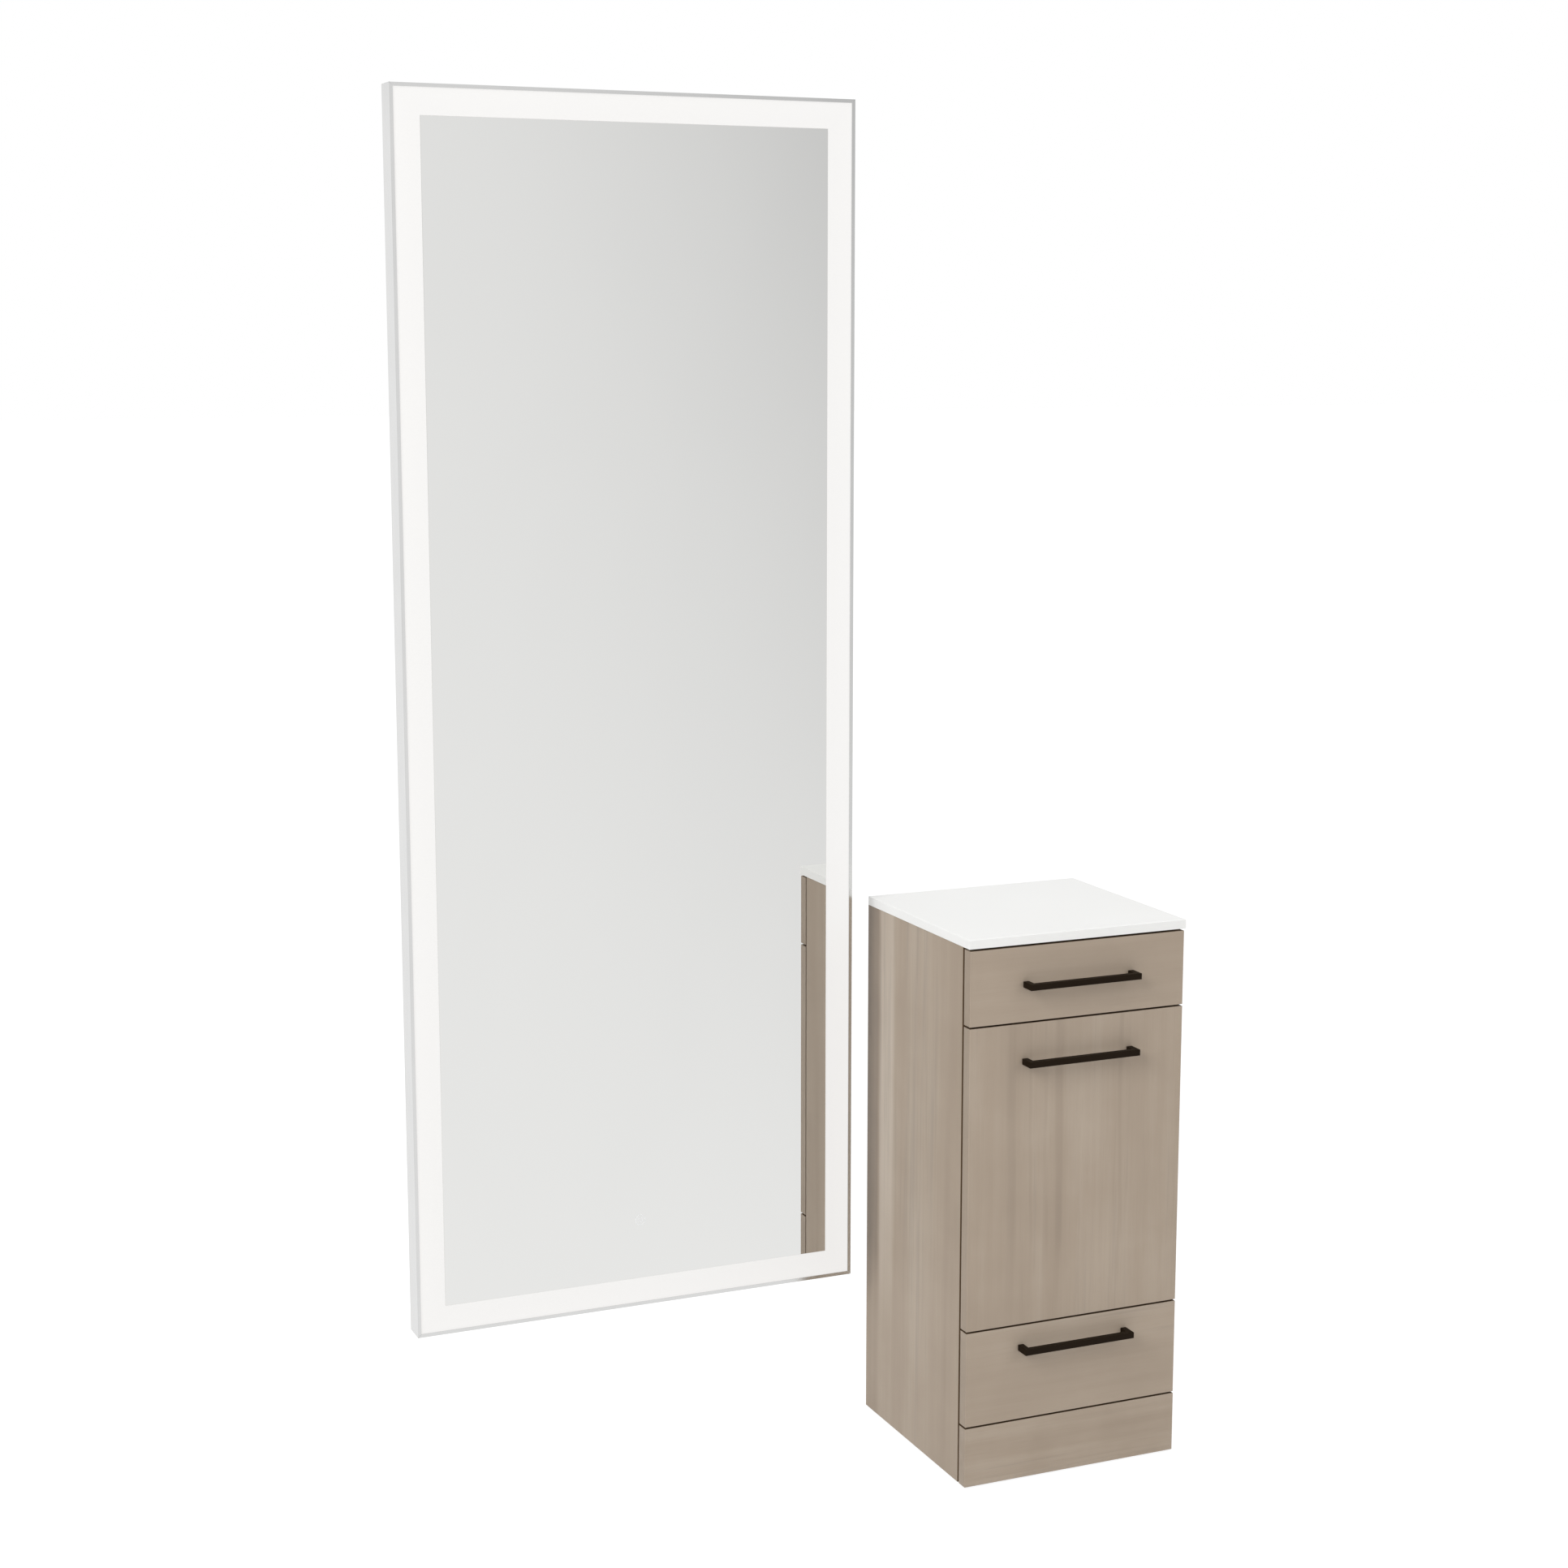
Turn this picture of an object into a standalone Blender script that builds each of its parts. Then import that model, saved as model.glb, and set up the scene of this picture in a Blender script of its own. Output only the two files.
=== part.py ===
"""Mobile styling station: a tall lit wall mirror with a narrow floor cabinet beside it.

Metres, +Z up, +X right along the wall, +Y into the wall. The origin is on the floor, under the middle of
the whole set's box. The cabinet's back and the mirror's wall cleat share one wall plane.
"""

import math

import bmesh
import bpy
from mathutils import Vector

MM = 0.001

# Clearances
GAP = 0.3 * MM
RUNNING_GAP = 0.4 * MM
WELD = 0.001 * MM

# Cabinet, overall
cabinet_width = 391.5 * MM
cabinet_depth = 378 * MM
cabinet_height = 915 * MM
skirt_clearance = 3 * MM
board = 16 * MM
board_edge = 0.4 * MM

# Fronts and the joints between them
front_board = 21 * MM
front_standoff = 4 * MM
front_reveal = 0.4 * MM
joint_gap = 3 * MM
top_gap = 3.5 * MM
plinth_joint_height = 101.2 * MM
lower_joint_height = 263.3 * MM
top_front_height = 123.1 * MM

# Worktop
worktop_thickness = 15 * MM
worktop_side_overhang = 2.5 * MM
worktop_front_overhang = 1.1 * MM
worktop_back_inset = 5 * MM
worktop_edge = 0.8 * MM

# Bar pulls
pull_hole_spacing = 192 * MM
pull_bar = 10 * MM
pull_projection = 27.6 * MM
pull_edge = 0.5 * MM
tilt_pull_drop = 62 * MM
bottom_pull_drop = 36.5 * MM

# Drawer boxes
drawer_wall = 12 * MM
drawer_bottom = 6 * MM
drawer_groove_depth = 6 * MM
drawer_groove_height = 10 * MM
drawer_floor_clearance = 9 * MM
drawer_head_clearance = 12 * MM

# Telescopic runners
runner_length = 300 * MM
runner_height = 45 * MM
runner_steel = 1.2 * MM
runner_reach = 13 * MM
runner_setback = 3 * MM
runner_flange = 9 * MM

# Tilt-out bin
tilt_degrees = 20
pivot_depth = 7.5 * MM
pivot_height = 6 * MM
pivot_pin_radius = 2.5 * MM
pivot_eye_radius = 4.2 * MM
pivot_pin_length = 19 * MM
pivot_plate = 2.5 * MM
pivot_plate_length = 51 * MM
pivot_plate_height = 33 * MM
pivot_slot_margin = 0.9 * MM
bin_wall = 12 * MM
bin_side_clearance = 4 * MM
bin_floor_height = 30 * MM
bin_front_foot = 10 * MM
bin_arc_clearance = 5 * MM
stop_rail_height = 30 * MM
stop_lip = 17 * MM
stop_clearance = 0.4 * MM

# Tool plate
tool_plate_steel = 2 * MM
tool_plate_flange = 20 * MM
tool_plate_drop = 40 * MM
dryer_hole_radius = 38 * MM
iron_hole_radius = 23 * MM
tool_hole_spacing = 100 * MM

# Casters
caster_height = 72 * MM
wheel_radius = 25 * MM
wheel_width = 20 * MM
wheel_trail = 20 * MM
axle_radius = 4 * MM
fork_steel = 2.5 * MM
fork_side_gap = 0.8 * MM
fork_disc_radius = 18 * MM
fork_disc_thickness = 4 * MM
fork_eye_radius = 8 * MM
stem_radius = 5.5 * MM
stem_length = 15 * MM
caster_inset = 54 * MM

# Mirror, overall
mirror_width = 763.5 * MM
mirror_height = 1959 * MM
mirror_depth = 43 * MM
mirror_floor_height = 266.5 * MM
mirror_cabinet_gap = 53 * MM
mirror_wall_gap = 5 * MM

# Mirror frame extrusion
rail_wall = 1.6 * MM
rail_lip = 5.6 * MM
rail_lip_thickness = 1.5 * MM
rail_shelf = 14 * MM
rail_back_flange = 12 * MM
rail_back_setback = 6.5 * MM

# Mirror glazing
pane_thickness = 5 * MM
band_width = 41 * MM
band_ledge_width = 8 * MM
band_ledge_thickness = 2.5 * MM

# Inside the mirror
rear_panel_thickness = 1.5 * MM
strip_thickness = 1.6 * MM
strip_width = 10 * MM
strip_depth = 14 * MM
driver_length = 180 * MM
driver_width = 48 * MM
driver_thickness = 18 * MM
driver_height = 420 * MM
sensor_radius = 15 * MM
sensor_thickness = 2 * MM
sensor_height = 100 * MM
gland_radius = 9 * MM
gland_neck_radius = 6 * MM
gland_bore_radius = 3.5 * MM
gland_flange = 3 * MM
gland_height = 520 * MM
cleat_length = 500 * MM
cleat_sheet = 2 * MM
cleat_plate = 30 * MM
cleat_hook = 14 * MM
cleat_drop = 230 * MM

# Places worked out from the sizes above
set_width = mirror_width + mirror_cabinet_gap + cabinet_width + worktop_side_overhang
set_depth = cabinet_depth + pull_projection
wall_y = set_depth / 2
front_y = wall_y - cabinet_depth
carcass_y = front_y + front_board + front_standoff
mirror_left = -set_width / 2
mirror_middle = mirror_left + mirror_width / 2
mirror_back_y = wall_y - mirror_wall_gap
mirror_front_y = mirror_back_y - mirror_depth
mirror_top = mirror_floor_height + mirror_height
cabinet_left = mirror_left + mirror_width + mirror_cabinet_gap
cabinet_right = cabinet_left + cabinet_width
cabinet_middle = (cabinet_left + cabinet_right) / 2
inner_left = cabinet_left + board
inner_right = cabinet_right - board
worktop_bottom = cabinet_height - worktop_thickness
carcass_top = worktop_bottom - GAP
back_face_y = wall_y - board
plinth_joint = skirt_clearance + plinth_joint_height
lower_joint = skirt_clearance + lower_joint_height
upper_joint = worktop_bottom - top_gap - top_front_height - joint_gap / 2
deck_bottom = caster_height + GAP
deck_top = deck_bottom + board

for thing in list(bpy.data.objects):
    bpy.data.objects.remove(thing, do_unlink=True)

parts = bpy.data.collections.new("mobile_styling_station")
cutters = bpy.data.collections.new("cutters")
for group in (parts, cutters):
    bpy.context.scene.collection.children.link(group)


# Finishes
def finish(name, colour, roughness, metallic=0.0):
    material = bpy.data.materials.new(name)
    material.use_nodes = True
    material.diffuse_color = (*colour, 1)
    shader = material.node_tree.nodes["Principled BSDF"]
    shader.inputs["Base Color"].default_value = (*colour, 1)
    shader.inputs["Roughness"].default_value = roughness
    shader.inputs["Metallic"].default_value = metallic
    return material


laminate = finish("greige_laminate", (0.376, 0.296, 0.223), 0.45)
white_top = finish("white_worktop", (0.86, 0.86, 0.85), 0.35)
black_metal = finish("black_metal", (0.012, 0.011, 0.010), 0.38, 0.6)
liner = finish("white_liner", (0.72, 0.71, 0.68), 0.5)
zinc_steel = finish("zinc_steel", (0.55, 0.56, 0.58), 0.32, 1.0)
tool_steel = finish("brushed_steel", (0.50, 0.50, 0.50), 0.35, 1.0)
aluminium = finish("satin_aluminium", (0.70, 0.70, 0.71), 0.25, 1.0)
silvered = finish("silvered_glass", (0.92, 0.93, 0.93), 0.03, 1.0)
opal = finish("opal_diffuser", (0.93, 0.93, 0.91), 0.6)
pan_steel = finish("white_painted_steel", (0.78, 0.78, 0.77), 0.5)
strip_finish = finish("led_strip", (0.90, 0.86, 0.62), 0.5)
driver_finish = finish("driver_casing", (0.62, 0.62, 0.60), 0.55)
black_plastic = finish("black_plastic", (0.02, 0.02, 0.02), 0.5)
tyre_grey = finish("wheel_grey", (0.10, 0.10, 0.11), 0.6)


# Placing and softening
def anchor(name, place, parent=None):
    """An empty that stands on a moving body's axis. Its own world place is kept in a property."""
    empty = bpy.data.objects.new(name, None)
    empty.empty_display_size = 20 * MM
    parts.objects.link(empty)
    seat(empty, place, parent)
    empty["world_place"] = list(place)
    return empty


def seat(thing, place, parent):
    """Puts an object at a world place, under a parent that only shifts it."""
    thing.parent = parent
    base = Vector(parent["world_place"]) if parent else Vector((0, 0, 0))
    thing.location = Vector(place) - base


def piece(name, mesh, material, place, parent=None, turn=(0, 0, 0)):
    thing = bpy.data.objects.new(name, mesh)
    if not mesh.materials:
        mesh.materials.append(material)
    parts.objects.link(thing)
    seat(thing, place, parent)
    thing.rotation_euler = [math.radians(angle) for angle in turn]
    return thing


def soften(thing, width, segments=1):
    """Breaks the edges that meet at more than 30 degrees."""
    bevel = thing.modifiers.new("broken_edges", "BEVEL")
    bevel.width = width
    bevel.segments = segments
    bevel.limit_method = "ANGLE"
    bevel.angle_limit = math.radians(30)
    return thing


def smooth(mesh):
    mesh.shade_smooth()
    mesh.set_sharp_from_angle(angle=math.radians(35))


# Shapes
def box_mesh(name, size):
    mesh = bpy.data.meshes.new(name)
    shape = bmesh.new()
    bmesh.ops.create_cube(shape, size=1)
    bmesh.ops.scale(shape, vec=size, verts=shape.verts)
    shape.to_mesh(mesh)
    shape.free()
    return mesh


def panel(name, low, high, material, parent=None, edge=board_edge, segments=1):
    """A board between two world corners."""
    low = Vector(low)
    high = Vector(high)
    thing = piece(name, box_mesh(name, high - low), material, (low + high) / 2, parent)
    return soften(thing, edge, segments)


def extruded_mesh(name, loops, length):
    """A flat outline in the local XY plane, with its holes, run half its length each way along Z."""
    curve = bpy.data.curves.new(name, "CURVE")
    curve.dimensions = "2D"
    curve.fill_mode = "BOTH"
    curve.extrude = length / 2
    for loop in loops:
        spline = curve.splines.new("POLY")
        spline.points.add(len(loop) - 1)
        spline.use_cyclic_u = True
        for point, (x, y) in zip(spline.points, loop):
            point.co = (x, y, 0, 1)
    guide = bpy.data.objects.new(name, curve)
    cutters.objects.link(guide)
    graph = bpy.context.evaluated_depsgraph_get()
    mesh = bpy.data.meshes.new_from_object(guide.evaluated_get(graph))
    bpy.data.objects.remove(guide)
    shape = bmesh.new()
    shape.from_mesh(mesh)
    bmesh.ops.remove_doubles(shape, verts=shape.verts, dist=WELD)
    bmesh.ops.recalc_face_normals(shape, faces=shape.faces)
    shape.to_mesh(mesh)
    shape.free()
    return mesh


def turned_mesh(name, profile, steps=32, closed=False):
    """A profile in the local XZ plane, turned about Z. It runs down its outer side."""
    mesh = bpy.data.meshes.new(name)
    shape = bmesh.new()
    points = [shape.verts.new((x, 0, z)) for x, z in profile]
    for first, second in zip(points, points[1:]):
        shape.edges.new((first, second))
    if closed:
        shape.edges.new((points[-1], points[0]))
    shape.to_mesh(mesh)
    shape.free()
    guide = bpy.data.objects.new(name, mesh)
    cutters.objects.link(guide)
    screw = guide.modifiers.new("turn", "SCREW")
    screw.steps = steps
    screw.render_steps = steps
    screw.use_merge_vertices = True
    screw.merge_threshold = WELD
    return baked(guide)


def baked(guide):
    """The mesh of a helper object with its modifiers applied. The helper goes."""
    graph = bpy.context.evaluated_depsgraph_get()
    mesh = bpy.data.meshes.new_from_object(guide.evaluated_get(graph))
    bpy.data.objects.remove(guide)
    smooth(mesh)
    return mesh


def arc(centre, radius, start, end, steps):
    """Points on a circle from one angle to another, in degrees."""
    angles = [math.radians(start + (end - start) * i / steps) for i in range(steps + 1)]
    return [(centre[0] + radius * math.cos(a), centre[1] + radius * math.sin(a)) for a in angles]


def rectangle(width, height):
    return [
        (-width / 2, -height / 2),
        (width / 2, -height / 2),
        (width / 2, height / 2),
        (-width / 2, height / 2),
    ]


# Cutting and joining
def helper(name, mesh, place, turn=(0, 0, 0)):
    thing = bpy.data.objects.new(name, mesh)
    thing.location = place
    thing.rotation_euler = [math.radians(angle) for angle in turn]
    thing.hide_render = True
    thing.display_type = "WIRE"
    cutters.objects.link(thing)
    return thing


def box_cutter(name, low, high):
    low = Vector(low)
    high = Vector(high)
    return helper(name, box_mesh(name, high - low), (low + high) / 2)


def rod_mesh(name, radius, length, segments=24):
    mesh = bpy.data.meshes.new(name)
    shape = bmesh.new()
    bmesh.ops.create_cone(
        shape, cap_ends=True, segments=segments, radius1=radius, radius2=radius, depth=length
    )
    shape.to_mesh(mesh)
    shape.free()
    return mesh


def combine(thing, other, operation):
    boolean = thing.modifiers.new(other.name, "BOOLEAN")
    boolean.operation = operation
    boolean.object = other


def cut(thing, *others):
    for other in others:
        combine(thing, other, "DIFFERENCE")


# Bodies that move
cabinet = anchor("cabinet_anchor", (cabinet_middle, front_y, 0))
pivot_y = front_y + pivot_depth
pivot_z = lower_joint + joint_gap / 2 + pivot_height
tilt_out = anchor("tilt_out_anchor", (cabinet_middle, pivot_y, pivot_z), cabinet)


# Carcass
def carcass():
    inner_front = (inner_left + GAP, carcass_y)
    inner_back = (inner_right - GAP, back_face_y - GAP)
    for name, low_x in (("side_left", cabinet_left), ("side_right", inner_right)):
        panel(
            name,
            (low_x, carcass_y, skirt_clearance),
            (low_x + board, wall_y, carcass_top),
            laminate,
            cabinet,
        )
    panel(
        "back_panel",
        (inner_left + GAP, back_face_y, skirt_clearance),
        (inner_right - GAP, wall_y, carcass_top),
        laminate,
        cabinet,
    )
    shelves = {
        "lower_divider": lower_joint - board / 2,
        "upper_divider": upper_joint - board / 2,
        "sub_top": carcass_top - board,
    }
    for name, low_z in shelves.items():
        panel(name, (*inner_front, low_z), (*inner_back, low_z + board), laminate, cabinet)
    plinth_back = front_y + front_board
    deck_front = (inner_left + GAP, plinth_back + GAP)
    deck = panel("base_deck", (*deck_front, deck_bottom), (*inner_back, deck_top), laminate, cabinet)
    for name, x, y in caster_places():
        hole = rod_mesh("stem_hole", stem_radius + GAP, 2 * board)
        cut(deck, helper(f"stem_hole_{name}", hole, (x, y, deck_bottom + board / 2)))
    rail_top = upper_joint - board / 2 - GAP
    panel(
        "tilt_stop_rail",
        (*inner_front, rail_top - stop_rail_height),
        (inner_right - GAP, carcass_y + board, rail_top),
        laminate,
        cabinet,
    )
    panel(
        "plinth_panel",
        (cabinet_left, front_y, skirt_clearance),
        (cabinet_right, plinth_back, plinth_joint - joint_gap / 2),
        laminate,
        cabinet,
    )
    panel(
        "worktop",
        (cabinet_left - worktop_side_overhang, front_y - worktop_front_overhang, worktop_bottom),
        (cabinet_right + worktop_side_overhang, wall_y - worktop_back_inset, cabinet_height),
        white_top,
        cabinet,
        worktop_edge,
        3,
    )


# Fronts and pulls
def front(name, low_z, high_z, parent):
    return panel(
        name,
        (cabinet_left + front_reveal, front_y, low_z),
        (cabinet_right - front_reveal, front_y + front_board, high_z),
        laminate,
        parent,
    )


def bar_pull(name, height, parent):
    """A square bar with two square legs, cut from one outline and seated on a front."""
    half = (pull_hole_spacing + pull_bar) / 2
    inside = half - pull_bar
    tip = -pull_projection
    outline = [
        (-half, -GAP),
        (-half, tip),
        (half, tip),
        (half, -GAP),
        (inside, -GAP),
        (inside, tip + pull_bar),
        (-inside, tip + pull_bar),
        (-inside, -GAP),
    ]
    mesh = extruded_mesh(name, [outline], pull_bar)
    pull = piece(name, mesh, black_metal, (cabinet_middle, front_y, height), parent)
    soften(pull, pull_edge, 2)


# Drawers on telescopic runners
def channel(web_x, tip_x, height):
    """The outline of a folded steel channel, from its web to the tips of its flanges."""
    inward = math.copysign(runner_steel, tip_x - web_x)
    half = height / 2
    return [
        (web_x, -half),
        (tip_x, -half),
        (tip_x, runner_steel - half),
        (web_x + inward, runner_steel - half),
        (web_x + inward, half - runner_steel),
        (tip_x, half - runner_steel),
        (tip_x, half),
        (web_x, half),
    ]


def runner(prefix, height, middle_body, drawer_body):
    """Three nested channels on each side: one on the carcass, one that floats, one on the drawer."""
    nest = 2 * (runner_steel + RUNNING_GAP)
    middle_web = GAP + runner_steel + RUNNING_GAP
    inner_tip = middle_web + runner_steel + RUNNING_GAP
    members = (
        ("outer", GAP, GAP + runner_flange, runner_height, cabinet),
        ("middle", middle_web, runner_reach - runner_steel - RUNNING_GAP, runner_height - nest, middle_body),
        ("inner", runner_reach, inner_tip, runner_height - 2 * nest, drawer_body),
    )
    for side, face_x, inward in (("left", inner_left, 1), ("right", inner_right, -1)):
        for member, web, tip, tall, body in members:
            name = f"{prefix}_runner_{side}_{member}"
            outline = channel(inward * web, inward * tip, tall)
            mesh = extruded_mesh(name, [outline], runner_length)
            middle_y = carcass_y + runner_setback + runner_length / 2
            piece(name, mesh, zinc_steel, (face_x, middle_y, height), body, (90, 0, 0))


def drawer(prefix, low_z, high_z, floor_z, head_z, pull_height):
    """A front, a folded three-sided box with a grooved-in bottom, a pull and its runners."""
    body = anchor(f"{prefix}_anchor", (cabinet_middle, front_y, low_z), cabinet)
    middle_body = anchor(f"{prefix}_middle_anchor", (cabinet_middle, carcass_y, low_z), cabinet)
    front(f"{prefix}_front", low_z, high_z, body)
    bar_pull(f"{prefix}_pull", pull_height, body)
    outer_left = inner_left + runner_reach + GAP
    outer_right = inner_right - runner_reach - GAP
    box_front = front_y + front_board + GAP
    box_back = carcass_y + runner_setback + runner_length
    wrap = panel(
        f"{prefix}_box", (outer_left, box_front, floor_z), (outer_right, box_back, head_z), liner, body
    )
    inside_low = Vector((outer_left + drawer_wall, box_front - drawer_wall, floor_z - drawer_wall))
    inside_high = Vector((outer_right - drawer_wall, box_back - drawer_wall, head_z + drawer_wall))
    groove_z = floor_z + drawer_groove_height
    reach = Vector((drawer_groove_depth, drawer_groove_depth, 0))
    groove_low = Vector((inside_low.x, inside_low.y, groove_z - GAP)) - reach
    groove_high = Vector((inside_high.x, inside_high.y, groove_z + drawer_bottom + GAP)) + reach
    cut(
        wrap,
        box_cutter(f"{prefix}_inside", inside_low, inside_high),
        box_cutter(f"{prefix}_groove", groove_low, groove_high),
    )
    panel(
        f"{prefix}_bottom",
        (groove_low.x + GAP, box_front, groove_z),
        (groove_high.x - GAP, groove_high.y - GAP, groove_z + drawer_bottom),
        liner,
        body,
    )
    runner(prefix, (floor_z + head_z) / 2, middle_body, body)


# Tilt-out tool bin
def pivot_bracket(name, face_x, inward):
    """A steel plate on the carcass side, whose nose carries the pin inside the front's thickness."""
    foot = lower_joint + board / 2 + GAP - pivot_z
    nose = carcass_y - pivot_y
    plate_back = nose + pivot_plate_length
    outline = [
        *arc((0, 0), pivot_eye_radius, 90, 300, 10),
        (nose - 2 * GAP, foot),
        (plate_back, foot),
        (plate_back, foot + pivot_plate_height),
        (nose + pivot_plate_length / 4, foot + pivot_plate_height),
        (nose, foot + 2 * pivot_plate),
    ]
    plate_x = face_x + inward * (GAP + pivot_plate / 2)
    mesh = extruded_mesh(name, [outline], pivot_plate)
    bracket = piece(name, mesh, zinc_steel, (plate_x, pivot_y, pivot_z), cabinet, (90, 0, 90))
    pin = rod_mesh("pivot_pin", pivot_pin_radius, pivot_pin_length)
    combine(bracket, helper(f"{name}_pin", pin, (plate_x, pivot_y, pivot_z), (0, 90, 0)), "UNION")
    slot_half = pivot_plate / 2 + pivot_slot_margin
    slot_front = pivot_y - pivot_eye_radius - pivot_slot_margin
    slot = box_cutter(
        f"{name}_slot",
        (plate_x - slot_half, slot_front, pivot_z - 2 * pivot_height),
        (plate_x + slot_half, carcass_y, pivot_z + 2 * pivot_eye_radius),
    )
    bore = rod_mesh("pivot_bore", pivot_pin_radius + GAP, pivot_pin_length + 2 * GAP)
    return slot, helper(f"{name}_bore", bore, (plate_x, pivot_y, pivot_z), (0, 90, 0))


def tool_plate(half_width, depth, middle_y, top_z):
    """An inverted steel channel between the bin's sides, with three holes for hot tools."""
    inner_half = half_width - tool_plate_steel
    outline = [
        (-half_width, -tool_plate_flange),
        (-inner_half, -tool_plate_flange),
        (-inner_half, -tool_plate_steel),
        (inner_half, -tool_plate_steel),
        (inner_half, -tool_plate_flange),
        (half_width, -tool_plate_flange),
        (half_width, 0),
        (-half_width, 0),
    ]
    mesh = extruded_mesh("tool_plate", [outline], depth)
    place = (cabinet_middle, middle_y, top_z)
    plate = piece("tool_plate", mesh, tool_steel, place, tilt_out, (90, 0, 0))
    radii = (iron_hole_radius, dryer_hole_radius, iron_hole_radius)
    for step, radius in enumerate(radii):
        x = cabinet_middle + (step - 1) * tool_hole_spacing
        hole = rod_mesh("tool_hole", radius, 10 * tool_plate_steel, 32)
        cut(plate, helper(f"tool_hole_{step}", hole, (x, middle_y, top_z)))


def tool_bin():
    """The tall front with the bin it carries. The bin's back rises past its sides to meet the stop rail."""
    low_z = lower_joint + joint_gap / 2
    high_z = upper_joint - joint_gap / 2
    face = front("tilt_front", low_z, high_z, tilt_out)
    for name, face_x, inward in (
        ("pivot_bracket_left", inner_left, 1),
        ("pivot_bracket_right", inner_right, -1),
    ):
        cut(face, *pivot_bracket(name, face_x, inward))
    bar_pull("tilt_pull", high_z - tilt_pull_drop, tilt_out)
    rail_bottom = upper_joint - board / 2 - GAP - stop_rail_height - pivot_z
    arc_radius = rail_bottom - bin_arc_clearance
    lip_radius = arc_radius + stop_lip
    stop_reach = carcass_y + board + stop_clearance - pivot_y
    lip_angle = math.radians(tilt_degrees) + math.asin(stop_reach / lip_radius)
    back_reach = lip_radius * math.sin(lip_angle)
    lip_height = lip_radius * math.cos(lip_angle)
    door_reach = front_board - pivot_depth + GAP
    rear_reach = back_reach + bin_wall
    front_angle = math.degrees(math.acos(door_reach / arc_radius))
    rear_angle = math.degrees(math.acos(rear_reach / arc_radius))
    outline = [
        (door_reach, bin_front_foot),
        (rear_reach, bin_floor_height - bin_wall),
        *arc((0, 0), arc_radius, rear_angle, front_angle, 12),
    ]
    outer_left = inner_left + bin_side_clearance
    outer_right = inner_right - bin_side_clearance
    for name, x in (
        ("bin_side_left", outer_left + bin_wall / 2),
        ("bin_side_right", outer_right - bin_wall / 2),
    ):
        mesh = extruded_mesh(name, [outline], bin_wall)
        soften(piece(name, mesh, liner, (x, pivot_y, pivot_z), tilt_out, (90, 0, 90)), board_edge)
    inside_left = outer_left + bin_wall + GAP
    inside_right = outer_right - bin_wall - GAP
    panel(
        "bin_back",
        (inside_left, pivot_y + back_reach, pivot_z + bin_floor_height),
        (inside_right, pivot_y + rear_reach, pivot_z + lip_height),
        liner,
        tilt_out,
    )
    panel(
        "bin_bottom",
        (inside_left, pivot_y + door_reach, pivot_z + bin_floor_height),
        (inside_right, pivot_y + back_reach - GAP, pivot_z + bin_floor_height + bin_wall),
        liner,
        tilt_out,
    )
    depth = back_reach - GAP - door_reach
    middle_y = pivot_y + (door_reach + back_reach - GAP) / 2
    tool_plate((inside_right - inside_left) / 2, depth, middle_y, pivot_z + lip_height - tool_plate_drop)


# Casters
def caster_places():
    left = inner_left + caster_inset
    right = inner_right - caster_inset
    near = carcass_y + caster_inset
    far = back_face_y - caster_inset
    corners = (("front_left", left, near), ("front_right", right, near))
    return (*corners, ("rear_left", left, far), ("rear_right", right, far))


def fork_mesh():
    """A stem and its disc, with two cheeks that reach back to the axle, joined into one forging."""
    disc_low = deck_bottom - GAP - fork_disc_thickness
    stem_top = deck_bottom + stem_length
    profile = [
        (0, stem_top),
        (stem_radius, stem_top),
        (stem_radius, deck_bottom - GAP),
        (fork_disc_radius, deck_bottom - GAP),
        (fork_disc_radius, disc_low),
        (0, disc_low),
    ]
    fork = helper("fork_shape", turned_mesh("fork_stem", profile), (0, 0, 0))
    cheek_top = disc_low + fork_disc_thickness / 2
    cheek = [
        *arc((wheel_trail, wheel_radius), fork_eye_radius, -150, 30, 10),
        (fork_disc_radius * 0.8, cheek_top),
        (-fork_disc_radius * 0.8, cheek_top),
    ]
    cheek_x = wheel_width / 2 + fork_side_gap + fork_steel / 2
    extras = []
    for side in (-1, 1):
        mesh = extruded_mesh("fork_cheek", [cheek], fork_steel)
        extras.append(helper("fork_cheek", mesh, (side * cheek_x, 0, 0), (90, 0, 90)))
    axle = rod_mesh("fork_axle", axle_radius, 2 * cheek_x + 2 * fork_steel)
    extras.append(helper("fork_axle", axle, (0, wheel_trail, wheel_radius), (0, 90, 0)))
    for extra in extras:
        combine(fork, extra, "UNION")
    mesh = baked(fork)
    for extra in extras:
        bpy.data.objects.remove(extra)
    return mesh


def wheel_mesh():
    """A tread with rounded shoulders, a dished web and a bored hub, turned about its axle."""
    half = wheel_width / 2
    bore = axle_radius + GAP
    hub = 2 * axle_radius
    shoulder = 3 * MM
    rim = wheel_radius - 6 * MM
    web = half - 4 * MM
    upper = [
        (bore, half),
        (hub, half),
        (hub + 1 * MM, web),
        (rim - 1 * MM, web),
        (rim, half),
        *reversed(arc((wheel_radius - shoulder, half - shoulder), shoulder, 0, 90, 3)),
    ]
    lower = [(x, -z) for x, z in reversed(upper)]
    return turned_mesh("caster_wheel", upper + lower, 32, closed=True)


def casters():
    fork = fork_mesh()
    wheel = wheel_mesh()
    for name, x, y in caster_places():
        swivel = anchor(f"caster_{name}_swivel_anchor", (x, y, 0), cabinet)
        axle = (x, y + wheel_trail, wheel_radius)
        spin = anchor(f"caster_{name}_axle_anchor", axle, swivel)
        piece(f"caster_{name}_fork", fork, zinc_steel, (x, y, 0), swivel)
        piece(f"caster_{name}_wheel", wheel, tyre_grey, axle, spin, (0, 90, 0))


# Mirror frame and glazing
def glazing_depths():
    """How far behind the frame's face the glazing starts and ends."""
    start = rail_lip_thickness + GAP
    return start, start + pane_thickness + GAP + band_ledge_thickness


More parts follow.
